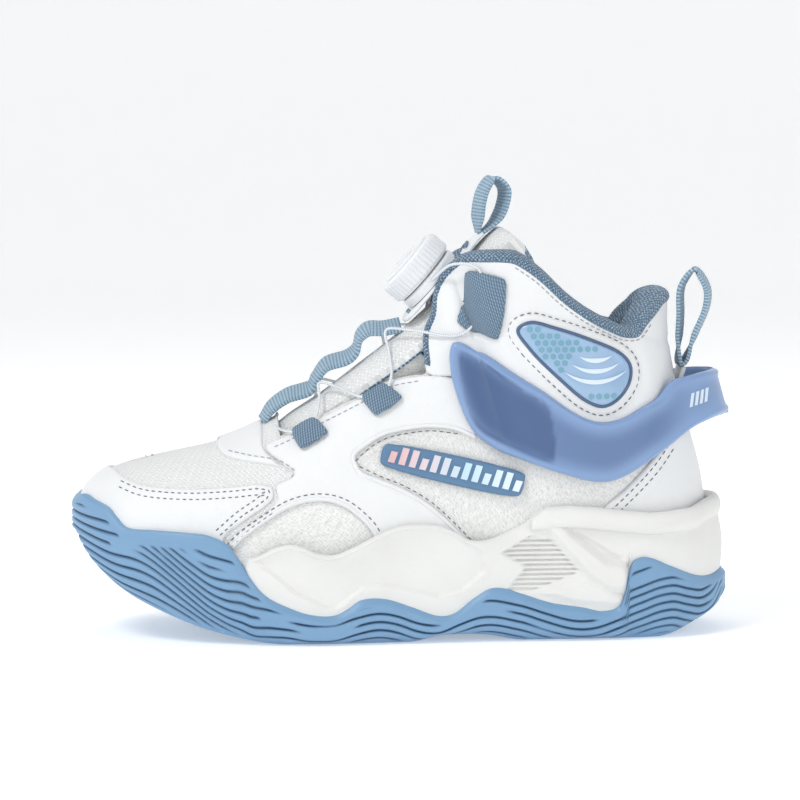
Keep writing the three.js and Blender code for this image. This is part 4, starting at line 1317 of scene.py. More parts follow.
    @staticmethod
    def crescent(centre: Array, radius: float, reach: float, thick: float) -> Array:
        """A thin moon below a centre, `thick` in its middle and pointed at both ends.

        Args:
            centre: The middle of the arc.
            radius: The outer radius.
            reach: Half the arc, in radians.
            thick: The thickness in the middle.

        Returns:
            The closed outline.
        """
        turn = np.linspace(-reach, reach, 15)
        outer = np.stack([np.sin(turn), -np.cos(turn)], axis=1) * radius
        waist = (radius - thick * np.cos(turn / reach * math.pi / 2))[:, None]
        inner = np.stack([np.sin(turn), -np.cos(turn)], axis=1) * waist
        return centre + np.vstack([outer, inner[-2:0:-1]])

    @staticmethod
    def hexagon(centre: Array, radius: float) -> Array:
        """Six corners round a centre."""
        angle = np.radians(np.arange(6) * 60 + 30)
        return centre + radius * np.stack([np.cos(angle), np.sin(angle)], axis=1)

    def flat_marks(self, name: str, outlines: list[Array], finish: Finish, height: float | Callable | list,
        rise: float = 0.25) -> None:
        """Lays thin plates with side-view outlines on the surface, on both sides.

        Args:
            name: The piece's name.
            outlines: Each plate's corners.
            finish: Its finish.
            height: The distance from the last: one, one for each plate, or a function of w.
            rise: Its thickness.
        """
        points, faces = [], []
        start = 0
        for number, outline in enumerate(outlines):
            level = height[number] if isinstance(height, list) else height
            w, v = LAST.locate(np.asarray(outline), level)
            reach = level(w) if callable(level) else np.full(w.shape, level)
            low, high = LAST.lift(w, v, reach - rise), LAST.lift(w, v, reach)
            count = len(outline)
            points += [low, high]
            ring = np.arange(count)
            faces += [[start + i, start + (i + 1) % count, start + count + (i + 1) % count,
                start + count + i] for i in ring]
            faces += [list(start + count + ring), list(start + ring[::-1])]
            start += 2 * count
        body = np.vstack(points)
        both = np.vstack([swung(body), swung(body * np.array([1, -1, 1]))])
        tiles = faces + [[i + len(body) for i in face[::-1]] for face in faces]
        piece = tidy_normals(put_mesh(name, both, tiles), 1e-7)
        piece.data.polygons.foreach_set("use_smooth", np.zeros(len(piece.data.polygons), dtype=bool))
        dress(piece, finish)

    def raised_line(self, name: str, line: Array, finish: Finish, height: float, radius: float,
        closed: bool = False) -> None:
        """A round bead along a side-view line, on both sides.

        Args:
            name: The bead's name, without its side.
            line: Side-view points.
            finish: Its finish.
            height: Height over the last.
            radius: Its radius.
            closed: Whether it closes.
        """
        w, v = LAST.locate(line, height)
        path, normal = LAST.lift(w, v, height), LAST.normal(w, v)
        for side, sign in (("_lateral", 1), ("_medial", -1)):
            flip = np.array([1, sign, 1])
            moved = swung(path * flip) / MM
            dress(sweep(name + side, moved, normal * flip, round_section(radius, 8), closed), finish)

    def badge(self) -> None:
        """The slanted side badge: a plate with a row of plain raised bars."""
        plate = Panel("side_badge_plate", rounded(BADGE_EDGE, 1.1), 0.4, 2.4, edge=0.7, wall=1.2, step=1.5)
        for piece in plate.build():
            dress(piece, BADGE_PLATE, replaces=["side_badge" + piece.name[piece.name.rindex("_") :]])
        bars = []
        along = np.array([52.4, -12.6]) / np.hypot(52.4, 12.6)
        up = np.array([2.0, 8.2]) / np.hypot(2.0, 8.2)
        for number in range(13):
            corner = np.array([-8.6, 68.4]) + along * (1.4 + number * 4.0)
            tall = 6.4 if number % 3 else 4.2
            bars.append(np.array([corner, corner + along * 2.5, corner + along * 3.1 + up * tall,
                corner + along * 0.6 + up * tall]))
        self.flat_marks("side_badge_bars", bars, FILM, 2.9, 0.6)

    def piping(self) -> None:
        """Soft rolled rims round both windows."""
        for name, line in (("fore", FORE_WINDOW[:-1]), ("mid", [*MID_WINDOW_TOP[4:], *MID_WINDOW_FRONT[:-1]])):
            self.raised_line("window_piping_" + name, moved_line(line, 0.1), LEATHER, 1.05, 0.95)

    def stitches(self) -> None:
        """Dark rows at the windows, the heel, the lens and the toe cap; pale rows at the throat, the topline and the
        tab.
        """
        dark = Stitching("window_stitching", THREAD)
        dark.along(FORE_WINDOW[:-1], 2.0)
        dark.along(MID_WINDOW_TOP[5:], 2.0)
        dark.along(MID_WINDOW_FRONT[:-1], 2.0)
        dark.along(HEEL_EDGE[1:-1], -2.0, -4.6)
        dark.along(QUARTER_FRONT[1:4], -1.9)
        lens = [LENS_EDGE[i] for i in (11, 0, 1, 2, 3, 4, 5, 6, 7, 8, 9, 10, 11)]
        dark.along(lens, 3.4)
        dark.build()
        cap = Stitching("toe_stitching", THREAD, pitch=2.4, length=1.4, radius=0.24)
        cap.along(CAP_EDGE[1:-1], -1.8, -4.0)
        cap.build()
        pale = Stitching("edge_stitching", PALE_THREAD, pitch=2.4, radius=0.22)
        pale.along(THROAT[1:-1], -2.2)
        pale.along(TOPLINE[3:-3], -2.4)
        pale.along(TAB_EDGE[2:], 1.8)
        pale.build()


@dataclass
class HeelWing:
    """The translucent strap that springs off the leather and bows out behind the heel."""

    base: float = 2.7
    top: float = 4.6
    bow: float = 13.5

    def stand_off(self, w: Array) -> Array:
        """How far the strap stands away: nothing on the sides, `bow` behind the heel."""
        return self.bow * smoothstep(w, 0.84, 1.0)

    def build(self) -> None:
        """Builds the strap, its raised border and the plain bars at its back end."""
        strap = Panel(
            "heel_wing_strap", WING_EDGE, self.base, self.top, True, edge=1.6, wall=2.4, stand_off=self.stand_off,
                groove=self.recess, tone=self.painted_light_and_shade,
        )
        for piece in strap.build():
            dress(piece, MOULDING, replaces=["heel_wing"])
        bars = []
        for number in range(4):
            x = 108.6 + number * 2.1
            bars.append(np.array([[x, 86.2 + 0.25 * x - 27], [x + 1.0, 86.4 + 0.25 * x - 27],
                [x + 1.9, 91.6 + 0.25 * x - 27], [x + 0.9, 91.4 + 0.25 * x - 27]]))
        Upper().flat_marks("heel_wing_bars", bars, LENS_MARK, lambda w: self.top + 0.35 + self.stand_off(w), 0.6)

    @staticmethod
    def painted_light_and_shade(side: Array, away: Array) -> Array:
        """Painted light and shade on the moulding: pale at the thin edges and behind the heel, painted shade deeper
        towards the thick middle and deepest in the sunken front panel.

        Args:
            side: Side-view points.
            away: Their distance to the edge.

        Returns:
            The painted shade, from 0 to 1.
        """
        # Painted shade in the sunken front panel.
        sunk = smoothstep(signed_inside(side, curve_through(WING_PANEL, 1.0, True)), -0.6, 1.2)
        # Painted shade growing away from the edge, paler behind the heel.
        thick = 0.62 * smoothstep(away, 0.3, 8.0) * (1 - 0.75 * smoothstep(side[:, 0], 92, 112))
        return np.maximum(thick, sunk * (0.55 + 0.42 * smoothstep(away, 0.5, 7.0)))

    @staticmethod
    def recess(side: Array, away: Array) -> Array:
        """A border bead 2 mm in from the edge and a sunken panel at the front.

        Args:
            side: Side-view points.
            away: Their distance to the edge.

        Returns:
            The change of height, in millimetres.
        """
        border = 0.7 * np.exp(-(((away - 1.9) / 1.2) ** 2))
        sunk = -0.9 * smoothstep(signed_inside(side, curve_through(WING_PANEL, 1.0, True)), -0.4, 1.6)
        return border + sunk


# ---------------------------------------------------------------- collar, tongue and inside


@dataclass
class Collar:
    """The padded collar: a lining rolled over the topline and down inside the ankle."""

    rim: Pairs = field(default_factory=lambda: [
        [8.6, 103, 26, 94], [8.4, 114.7, 28, 100], [11.3, 122, 30, 104], [12.2, 129.3, 32, 106],
            [14.8, 135.7, 34, 106],
        [19.1, 140.2, 38, 105], [22.6, 142.6, 41, 104], [30, 143.2, 45, 102], [39, 143, 50, 100],
            [42.5, 141.6, 53, 98],
        [49.7, 136.6, 58, 94], [59.6, 127.6, 66, 90], [68.8, 121.2, 73, 86], [78.1, 116.6, 80, 84],
            [83, 114.8, 85, 83],
        [87.6, 114.9, 89, 82], [91.1, 118.7, 93, 82], [96, 123, 97, 82], [100, 126.5, 101, 82], [112, 128.5, 112, 82],
    ])
    roll: float = 4.9
    middle: float = -3.6
    rise: float = 2.6

    def build(self) -> None:
        """Sweeps the rolled profile round the opening, from one front edge to the other."""
        table = curve_through(self.rim, 1.1)
        w, v = LAST.locate(table[:, :2])
        deep_w, deep_v = LAST.locate(table[:, 2:])
        fresh = np.concatenate([[True], np.diff(np.maximum.accumulate(w)) > 8e-4])
        w, v, deep_w, deep_v = (a[fresh] for a in (w, v, deep_w, deep_v))
        w[-1] = deep_w[-1] = 1.0
        deep_w = np.minimum(deep_w, w + 0.02)
        count = len(w)
        place = LAST.lift(w, v, 0.0)
        normal = LAST.normal(w, v)
        share = 0.08
        near = LAST.lift(w + (deep_w - w) * share, v + (deep_v - v) * share, 0.0)
        inward = near - place
        inward /= np.maximum(np.linalg.norm(inward, axis=1, keepdims=True), 1e-9)
        rows = []
        for angle in np.linspace(-0.15 * math.pi, math.pi, 16):
            swell = self.rise * max(math.sin(angle), -0.2)
            out = self.middle + self.roll * math.cos(angle)
            rows.append(place + normal * out - inward * swell)
        for depth in np.linspace(0, 1, 22)[1:]:
            puff = 1.5 * math.sin(math.pi * min(depth * 1.5, 1.0))
            spot_w, spot_v = w + (deep_w - w) * depth, v + (deep_v - v) * depth
            rows.append(LAST.lift(spot_w, spot_v, self.middle - self.roll - puff))
        half = np.stack(rows, axis=1)
        half[-1, :, 1] = 0
        other = half[:-1][::-1] * np.array([1, -1, 1])
        points = np.concatenate([half, other])
        rows_count, columns = points.shape[:2]
        uv = np.stack(np.meshgrid(np.arange(rows_count) * 1.1, np.arange(columns) * 1.2, indexing="ij"), axis=-1)
        piece = grid_piece("collar_lining_roll", swung(points), uv=uv)
        Panel._face_out(piece)
        piece.data.flip_normals()
        solidify(piece, 1.1)
        dress(piece, LINING, replaces=["collar_lining", "collar_padding"])
        LOG.info("collar swept over %d stations", count)


@dataclass
class Tongue:
    """The padded tongue: a knit face, a lined back and a soft top."""

    rows: Pairs = field(default_factory=lambda: [
        [-50.5, 76.6, 9.5, 3.4, 4], [-42, 83.6, 12.5, 5.2, 4.5], [-30, 91.6, 14.5, 5.6, 5],
        [-17, 101.6, 16, 6, 5.5], [-5, 110.8, 17, 6.4, 6], [5, 119.4, 17.5, 6.4, 6.5],
        [17, 131, 18, 6, 8.5], [23.8, 140, 18.5, 5.6, 10.5], [30.2, 148.6, 17.5, 5.2, 11.5],
            [38.6, 156.2, 15.5, 3.6, 10],
    ])

    def surface(self, side: Array, depth: Array, along: Array) -> Array:
        """Points of the tongue.

        The face is the centre line pushed inwards by the fall times the square of the side, and
        the back is the face pushed on by a share of the thickness.

        Args:
            side: From -1 to 1 across.
            depth: The share of the thickness, 0 at the face.
            along: The place up the tongue, in table rows.

        Returns:
            Points in millimetres, before the swing.
        """
        table = np.asarray(self.rows, float)
        spare = np.vstack([2 * table[:1] - table[1:2], table, 2 * table[-1:] - table[-2:-1]])
        row = smooth_rows(spare, along)
        step = smooth_rows(spare, np.minimum(along + 0.02, len(table) - 1)) - smooth_rows(spare,
            np.maximum(along - 0.02, 0))
        ahead = step[:, :2] / np.linalg.norm(step[:, :2], axis=1, keepdims=True)
        sink = row[:, 3] * side**2 + depth * row[:, 4]
        x = row[:, 0] + ahead[:, 1] * sink
        z = row[:, 1] - ahead[:, 0] * sink
        return np.stack([x, side * row[:, 2], z], axis=1)

    def shell(self, name: str, sides: Array, depths: Array, stretch: float = 9.0) -> bpy.types.Object:
        """A sheet from matching sides and depths, carried up the tongue and closed at the top.

        Args:
            name: The piece's name.
            sides: From -1 to 1 across.
            depths: The depth at each side.
            stretch: How far up it goes.

        Returns:
            The open sheet.
        """
        ups = np.linspace(0, stretch, 150)
        cap = np.clip((ups - stretch + 0.3) / 0.3, 0, 1)
        grid = []
        for up, close in zip(ups, cap):
            fade = 1 - 0.25 * close**2
            puff = 1 + 0.95 * float(smoothstep(np.array(up), 6.4, 8.0))
            middle = 0.5 * puff
            round_top = math.sqrt(max(1 - close**2, 0))
            grid.append(self.surface(sides * fade, middle + (depths * puff - middle) * round_top,
                np.full(len(sides), up)))
        points = np.stack(grid)
        uv = np.stack(np.meshgrid(ups * 13, np.cumsum(np.abs(np.gradient(sides))) * 17, indexing="ij"), axis=-1)
        return grid_piece(name, swung(points), uv=uv)

    def build(self) -> None:
        """Builds the face, the lined back and the badge on the tongue's top."""
        face_sides = np.concatenate([np.full(5, -1.0), np.linspace(-1, 1, 29), np.full(5, 1.0)])
        face_depths = np.concatenate([np.linspace(0.56, 0.12, 5), 0.1 * np.abs(np.linspace(-1, 1, 29)) ** 6,
            np.linspace(0.12, 0.56, 5)])
        face = self.shell("tongue_face", face_sides, face_depths)
        back_sides = np.linspace(-1.03, 1.03, 33)
        back_depths = 0.5 + 0.56 * (1 - np.abs(back_sides / 1.03) ** 5)
        back = self.shell("tongue_back_lining", back_sides, back_depths)
        self.gusset()
        back.data.flip_normals()
        for piece, finish, nodes in ((face, MESH, ["tongue_cover"]),
            (back, LINING, ["tongue_lining", "tongue_foam"])):
            solidify(piece, 0.8)
            dress(piece, finish, None, nodes)
            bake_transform(piece)
        self.badge()

    def gusset(self) -> None:
        """The thin folds that join the tongue's edges to the upper, falling inwards on each side."""
        ups = np.linspace(0.3, 4.5, 70)
        falls = np.linspace(0, 1, 10)
        for name, sign in (("lateral", -1.0), ("medial", 1.0)):
            rows = [self.surface(np.full(70, sign * (0.98 - 0.1 * fall)), 0.3 + 2.0 * np.full(70, fall),
                ups) for fall in falls]
            points = np.stack(rows)
            uv = np.stack(np.meshgrid(falls * 12, ups * 13, indexing="ij"), axis=-1)
            piece = grid_piece("tongue_gusset_" + name, swung(points), uv=uv)
            solidify(piece, 0.7, 0.0)
            dress(piece, KNIT, None)
            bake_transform(piece)

    def badge(self) -> None:
        """A plain curved label with one crescent bar, above the dial."""
        sides = np.linspace(-0.44, 0.44, 21)
        ups = np.linspace(7.25, 8.25, 15)
        grid = np.stack([self.surface(sides, -0.22 - 0.03 * np.cos(sides * 3), np.full(21, u)) for u in ups])
        piece = grid_piece("tongue_label", swung(grid))
        solidify(piece, 1.0, 0.0)
        dress(piece, PLASTIC, "tongue", ["tongue_badge"])
        arc = np.linspace(-1.1, 1.1, 25)
        path = self.surface(0.27 * np.sin(arc), np.full(25, -0.34), 7.36 + 0.32 * np.cos(arc))
        dress(sweep("tongue_label_crescent", swung(path) / MM, np.tile([0.65, 0, 0.75], (25, 1)),
            flat_section(1.8, 0.5, 0.2)), WEBBING, "tongue")


@dataclass
class Inside:
    """The removable sockliner that shows through the collar."""

    def build(self) -> None:
        """A crowned sheet inside the outline, dished at the heel."""
        low, high = (np.array(c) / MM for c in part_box("sockliner"))
        t = np.linspace(0, 1, 70)
        x = low[0] + (high[0] - low[0]) * t
        half = 29.5 * np.sqrt(np.clip(1 - np.abs(2 * t - 1) ** 3.4, 0,
            1)) * (1 - 0.12 * np.exp(-(((x - 15) / 45) ** 2)))
        across = np.linspace(-1, 1, 31)
        bed = np.interp(x, [-125, -106, -78, -50, -20, 6, 26, 126], [45.6, 38.6, 28, 23.2, 23.2, 27, 30, 30])
        z = bed[:, None] + 0.6 + 2.2 * np.abs(across[None]) ** 4 * smoothstep(x, 0, 60)[:, None]
        points = np.stack([np.repeat(x[:, None], 31, 1), half[:, None] * across[None], z], axis=-1)
        uv = points[..., :2]
        piece = grid_piece("sockliner_pad", swung(points), uv=uv)
        piece.data.flip_normals()
        solidify(piece, 4.0)
        dress(piece, LINING, replaces=["sockliner"])


# ---------------------------------------------------------------- sole


@dataclass
class Sole:
    """The outsole cup with its carved waves, the sculpted midsole and the heel clip."""

    outline: Pairs = field(default_factory=lambda: [
        [-125.5, 0], [-123.6, 9], [-119, 17.5], [-111.5, 26.5], [-100, 34.5], [-84, 40.8], [-65, 44.3], [-45, 44.8],
        [-25, 43], [0, 38.8], [25, 36.8], [50, 36.8], [75, 37.2], [95, 35.4], [109, 29.5], [118, 21], [124, 10.8],
            [125.8, 0],
    ])
    bottom: Pairs = field(default_factory=lambda: [
        [-124.5, 36], [-121.4, 28.6], [-117, 23], [-108, 17.6], [-95, 12], [-78, 6], [-60, 1.8], [-46, 0], [2, 0],
        [14, 2.2], [30, 2.2], [44, 0], [98, 0], [110, 2.6], [119, 6.4], [125.4, 13],
    ])
    blue_top: Pairs = field(default_factory=lambda: [
        [-125, 51.6], [-123, 52.6], [-119, 51], [-113.9, 49], [-109.6, 45], [-106, 42], [-95, 41.6], [-81.6, 41],
            [-74.8, 40.3],
        [-67.2, 36.8], [-63.4, 32], [-58.8, 24.8], [-52.9, 18], [-44.4, 13.6], [-35.8, 10.8], [-27.3, 10.5],
            [-22, 12.9],
        [-17, 16.1], [-8.3, 16.3], [1.2, 13.2], [12, 9.4], [17.4, 10.1], [24.7, 15.5], [31, 19.3], [35.7, 19.5],
            [43.9, 17],
        [54, 13.7], [65.8, 11.8], [74, 10.2], [80, 11.9], [82.4, 17.8], [84.3, 26.6], [87.2, 29.7], [91.9, 30],
        [100.7, 26.5], [112.2, 22], [118.2, 21.2], [124, 22.3],
    ])
    foam_top: Pairs = field(default_factory=lambda: [
        [-125, 45], [-110, 37], [-75, 33], [-61.3, 31.2], [-56.2, 31.8], [-49.4, 35.2], [-44.3, 36.4], [-39, 35.5],
        [-33.2, 33], [-27, 32.6], [-19.4, 35.5], [-10.9, 39.7], [-3.2, 42.7], [4.5, 43.3], [12, 42.7], [18.3, 40.2],
        [23, 37.2], [30, 37], [37.4, 39.6], [44.6, 43.1], [51, 48], [68.7, 47.6], [92, 45], [112, 45.2], [118, 46.8],
    ])
    flow: Pairs = field(default_factory=lambda: [
        [-127, 20], [-118, 17.2], [-110, 14], [-102, 10.8], [-95, 7], [-88, 2.2], [-80, -3.4], [-74, -7.4],
            [-68, -10.2],
        [-62, -12.4], [-57, -15], [-50, -16.4], [-44, -17], [-36, -18.6], [-28, -18], [-20, -15.4], [-12, -14.4],
        [-4, -15.6], [4, -17.8], [12, -18.6], [20, -16.2], [28, -13.4], [34, -13], [42, -15], [52, -18.8],
            [62, -20.8],
        [72, -20.8], [80, -18.6], [88, -15], [95, -12.3], [101, -12], [107, -14], [113, -15], [118, -12.5], [122, -7],
            [127, 0],
    ])
    pitch: float = 3.05
    wall: float = 3.6
    floor: float = 5.0

    def __post_init__(self) -> None:
        """Samples the closed outline and its inward normals."""
        half = [[x, -y] for x, y in self.outline]
        loop = half + [[x, -y] for x, y in half[1:-1][::-1]]
        dense = curve_through(loop, 0.5, closed=True)
        count = 880
        line = resampled(np.vstack([dense, dense[:1]]), 0.1)
        self.line = line[np.linspace(0, len(line) - 1, count + 1).astype(int)[:-1]]
        ahead = np.roll(self.line, -1, axis=0) - np.roll(self.line, 1, axis=0)
        ahead /= np.linalg.norm(ahead, axis=1, keepdims=True)
        self.inward = np.stack([-ahead[:, 1], ahead[:, 0]], axis=1)
        self.count = count
        self.rise = {key: self.sampled(value) for key,
            value in (("low", self.bottom), ("blue", self.blue_top), ("foam", self.foam_top), ("flow", self.flow))}
        self.rise["low"] = np.maximum(self.rise["low"], 0.0)

    def sampled(self, points: Pairs) -> Array:
        """A smooth height profile read at every outline point.

        Args:
            points: The profile (x, height).

        Returns:
            One height per outline point.
        """
        curve = curve_through(points, 0.7)
        order = np.argsort(curve[:, 0])
        return np.interp(self.line[:, 0], curve[order, 0], curve[order, 1])

    def ring(self, inset: Array | float, height: Array) -> Array:
        """The outline moved inwards, at a height per point."""
        moved = self.line + self.inward * np.broadcast_to(np.asarray(inset, float), (self.count,))[:, None]
        return np.column_stack([moved, np.broadcast_to(height, (self.count,))])

    def build(self) -> None:
        """Builds the outsole, the midsole and the heel clip."""
        self.outsole()
        self.midsole()
        self.heel_clip()

    def tread(self, half: int) -> tuple[Array, Array]:
        """The bottom as strips from the outer to the inner side, cut by a herringbone.

        Args:
            half: The number of outline points on one side.

        Returns:
            Points shaped (half + 1, across, 3) and the groove share of each, which also sets the painted shade in the
            grooves.
        """
        rim = self.ring(6.5, self.rise["low"])
        first = rim[: half + 1]
        second = rim[(-np.arange(half + 1)) % self.count]
        share = np.linspace(0, 1, 45)[None, :, None]
        points = first[:, None] * (1 - share) + second[:, None] * share
        zigzag = points[..., 0] + 4.5 * np.abs((points[..., 1] / 9) % 2 - 1)
        cut = smoothstep(np.abs((zigzag / 5.2) % 1 - 0.5), 0.32, 0.46)
        edge = smoothstep(np.minimum(share[..., 0], 1 - share[..., 0]) * np.ones_like(cut), 0.03, 0.09)
        cut = cut * edge
        cut[[0, -1]] = 0
        points[..., 2] += 1.3 * cut
        return points, cut

    def outsole(self) -> None:
        """The rubber cup: tread, waved wall, rolled rim and inner wall, with painted shade in its grooves."""
        low, top = self.rise["low"], self.rise["blue"]
        rows, groove_shade = [], []
        for share in np.linspace(0, 1, 96):
            z = low + share * (top - low)
            inset = 6.5 * (1 - math.sin(min(share / 0.3, 1) * math.pi / 2)) + 1.2 * max(0, (share - 0.82) / 0.18) ** 2
            x = self.line[:, 0]
            ripple = 1.5 * np.sin(x / 5.2 + z / 7) * (1 - smoothstep(x, -62,
                -35)) + 0.45 * np.sin(x / 4.6) * smoothstep(x, -62, -35)
            phase = (z - self.rise["flow"] + ripple) / self.pitch
            away = np.abs((phase % 1) - 0.5) * self.pitch
            length = smoothstep(np.sin(x / 13 + np.floor(phase) * 1.9) + 1.1 * smoothstep(top - z, 7, 14), -0.8,
                -0.45)
            band = 2.0 + 2.2 * (1 - smoothstep(x, -80, -60)) * smoothstep(x, -112, -100)
            cut = np.exp(-((away / 0.40) ** 2)) * smoothstep(top - z, band, band + 1.4) * length
            cut = cut * smoothstep(np.full(self.count, share), 0.02, 0.1)
            rows.append(self.ring(inset + 1.15 * cut, z))
            # The groove share also paints shade into each groove.
            groove_shade.append(cut)
        for angle in np.linspace(0, math.pi, 7)[1:]:
            inset = 1.2 + self.wall / 2 * (1 - math.cos(angle))
            rows.append(self.ring(inset, top + 0.9 * math.sin(angle)))
            groove_shade.append(np.zeros(self.count))
        deep = np.minimum(low + self.floor, top - 1)
        for share in np.linspace(0, 1, 5)[1:]:
            rows.append(self.ring(1.2 + self.wall + 2.6 * share, top + (deep - top) * share))
            groove_shade.append(np.zeros(self.count))
        wall = np.stack(rows)
        half = self.count // 2
        bottom, cut = self.tread(half)
        faces = [grid_faces(len(rows), self.count, False, True)]
        start = wall.shape[0] * self.count
        tile = grid_faces(bottom.shape[0], bottom.shape[1])[:, ::-1]
        faces.append(tile + start)
        lid = np.stack([wall[-1][: half + 1], wall[-1][(-np.arange(half + 1)) % self.count]], axis=1)
        start += bottom.shape[0] * bottom.shape[1]
        faces.append(grid_faces(half + 1, 2) + start)
        points = np.vstack([wall.reshape(-1, 3), bottom.reshape(-1, 3), lid.reshape(-1, 3)])
        piece = put_mesh("outsole_rubber_cup", swung(points), np.vstack(faces))
        # The grooves' shares become the mask of painted shade.
        values = np.concatenate([np.concatenate(groove_shade), cut.ravel(), np.zeros(lid.size // 3)])
        add_attribute(piece, "groove", np.clip(values, 0, 1))
        tidy_normals(piece)
        dress(piece, RUBBER, replaces=["outsole"])

    def relief(self, side: Array) -> Array:
        """How far the foam stands out at side-view places: facets, ribs and arms.

        Args:
            side: Side-view points, any shape with a last axis of 2.

        Returns:
            The relief in millimetres.
        """
        facet = [
            [-60, 33], [-50, 26.4], [-43, 20], [-30, 13.6], [-26, 13.6], [-16, 20.6], [-9, 22], [6, 18.6], [12, 16.6],
            [21, 18.8], [30, 26.6], [28.6, 33.6], [20, 42], [4, 50], [-12, 48], [-20, 42], [-30, 36], [-44, 42],
                [-56, 40],
        ]
        ribs = [[34.5, 33.5], [44, 28.2], [36.6, 18.6], [46.7, 18.4], [65.6, 25.8], [54, 39], [46, 40]]
        arm = [[44, 47], [51, 43], [60, 33], [68, 24], [74, 19], [84, 17], [84, 31], [76, 30], [66, 38], [60, 43],
            [52, 50]]
        chevron = [[48, 18.2], [67, 23.5], [84, 16], [80, 12], [62, 14]]
        out = -1.0 * smoothstep(signed_inside(side, facet), -0.3, 1.6)
        inside = smoothstep(signed_inside(side, ribs), 0, 1.0)
        out = out - inside * (0.5 + 0.75 * smoothstep(np.cos(side[..., 1] * 2 * math.pi / 1.8), -0.2, 0.8))
        out = out + 1.5 * smoothstep(signed_inside(side, arm), -0.6, 2.6)
        out = out + 0.9 * smoothstep(signed_inside(side, chevron), -0.4, 2.4)
        crease = distance_to(side.reshape(-1, 2),
            resampled(np.array([[62, 41], [75, 33], [83, 28.5], [90, 30]]), 0.5))
        return out - 0.8 * np.exp(-((crease.reshape(side.shape[:-1]) / 1.2) ** 2))

    def midsole(self) -> None:
        """The foam: tucked into the cup, swelling above the blue edge, with a rolled top."""
        blue, top = self.rise["blue"], self.rise["foam"]
        show = smoothstep(top - blue, 0.0, 6.0)
        crest = np.maximum(top, blue - 4.5)
        low = self.rise["low"] + self.floor + 0.4
        tucked = self.wall + 1.9
        x = self.line[:, 0]
        lip = 3.8 - 4.1 * smoothstep(x, -64, -46) * (1 - smoothstep(x, 26, 42))
        rows = [self.ring(tucked + 3, np.minimum(low, blue - 1)),
            self.ring(tucked, np.minimum(blue - 0.6, crest - 1.5))]
        start = np.minimum(blue + 0.1, crest - 1.0)
        for share in np.linspace(0, 1, 110):
            z = start + (crest - start) * share
            bulge = (lip - 2.2) * share - 1.4 * math.sin(math.pi * share) * smoothstep(lip, 0, 3.8)
            side = np.stack([self.line[:, 0], z], axis=1)
            relief = self.relief(side) * math.sin(math.pi * min(max(share, 0.0), 1.0)) ** 0.35
            inset = tucked * (1 - show) + show * (2.2 + bulge - 1.75 * relief)
            rows.append(self.ring(inset, z))
        end = tucked * (1 - show) + show * lip
        for angle in np.linspace(0, math.pi, 8)[1:]:
            rows.append(self.ring(end + 1.9 * (1 - math.cos(angle)), crest + 1.6 * math.sin(angle)))
        bed = np.interp(self.line[:, 0], [-125, -106, -78, -50, -20, 6, 26, 126],
            [38, 31, 20.4, 15.6, 15.6, 19.4, 22.4, 22.4])
        rows.append(self.ring(end + 6, bed + 1.5))
        rows.append(self.ring(end + 9, bed))
        half = self.count // 2
        lids = []
        for ring in (rows[0], rows[-1]):
            lids.append(np.stack([ring[: half + 1], ring[(-np.arange(half + 1)) % self.count]], axis=1))
        wall = np.stack(rows)
        start_index = wall.shape[0] * self.count
        tile = grid_faces(half + 1, 2)
        faces = np.vstack([grid_faces(len(rows), self.count, False, True), tile[:, ::-1] + start_index,
            tile + start_index + 2 * (half + 1)])
        points = np.vstack([wall.reshape(-1, 3), lids[0].reshape(-1, 3), lids[1].reshape(-1, 3)])
        piece = put_mesh("midsole_foam_body", swung(points), faces)
        dress(tidy_normals(piece), FOAM, replaces=["midsole"])

    def heel_clip(self) -> None:
        """The thick rounded band round the heel, tapering to a blunt end on each side."""
        keep = np.flatnonzero(self.line[:, 0] > 46)
        path = self.line[keep]
        inward = self.inward[keep]
        order = np.argsort(np.unwrap(np.arctan2(path[:, 1], path[:, 0] - 60)))
        path, inward = path[order], inward[order]
        z = np.interp(path[:, 0], [46, 52, 60, 70, 92, 112, 120, 126],
            [43.8, 46.4, 46.9, 46.2, 43.6, 44.4, 46.6, 47.4])
        taper = smoothstep(path[:, 0], 45.5, 53)
        centre = np.column_stack([path + inward * (2.4 + 2.6 * smoothstep(path[:, 0], 96, 122))[:, None], z])
        outward = np.column_stack([-inward, np.zeros(len(path))])
        angle = np.linspace(0, 2 * math.pi, 20, endpoint=False)
        wide, tall = 2.9, 4.2
        shape = np.stack([np.sign(np.cos(angle)) * np.abs(np.cos(angle)) ** 0.8 * wide, np.sin(angle) * tall], axis=1)
        girth = (0.55 + 0.45 * taper)[:, None, None]
        up = np.array([0, 0, 1.0])
        points = centre[:, None] + girth * (outward[:, None] * shape[None, :, :1] + up * shape[None, :, 1:])
        faces = grid_faces(len(path), 20, False, True).tolist()
        faces += [list(range(20)), list(range((len(path) - 1) * 20, len(path) * 20))]
        piece = put_mesh("heel_clip_band", swung(points.reshape(-1, 3)), faces)
        dress(tidy_normals(piece), FOAM, replaces=["heel_clip"])


# ---------------------------------------------------------------- webbing, laces and dial


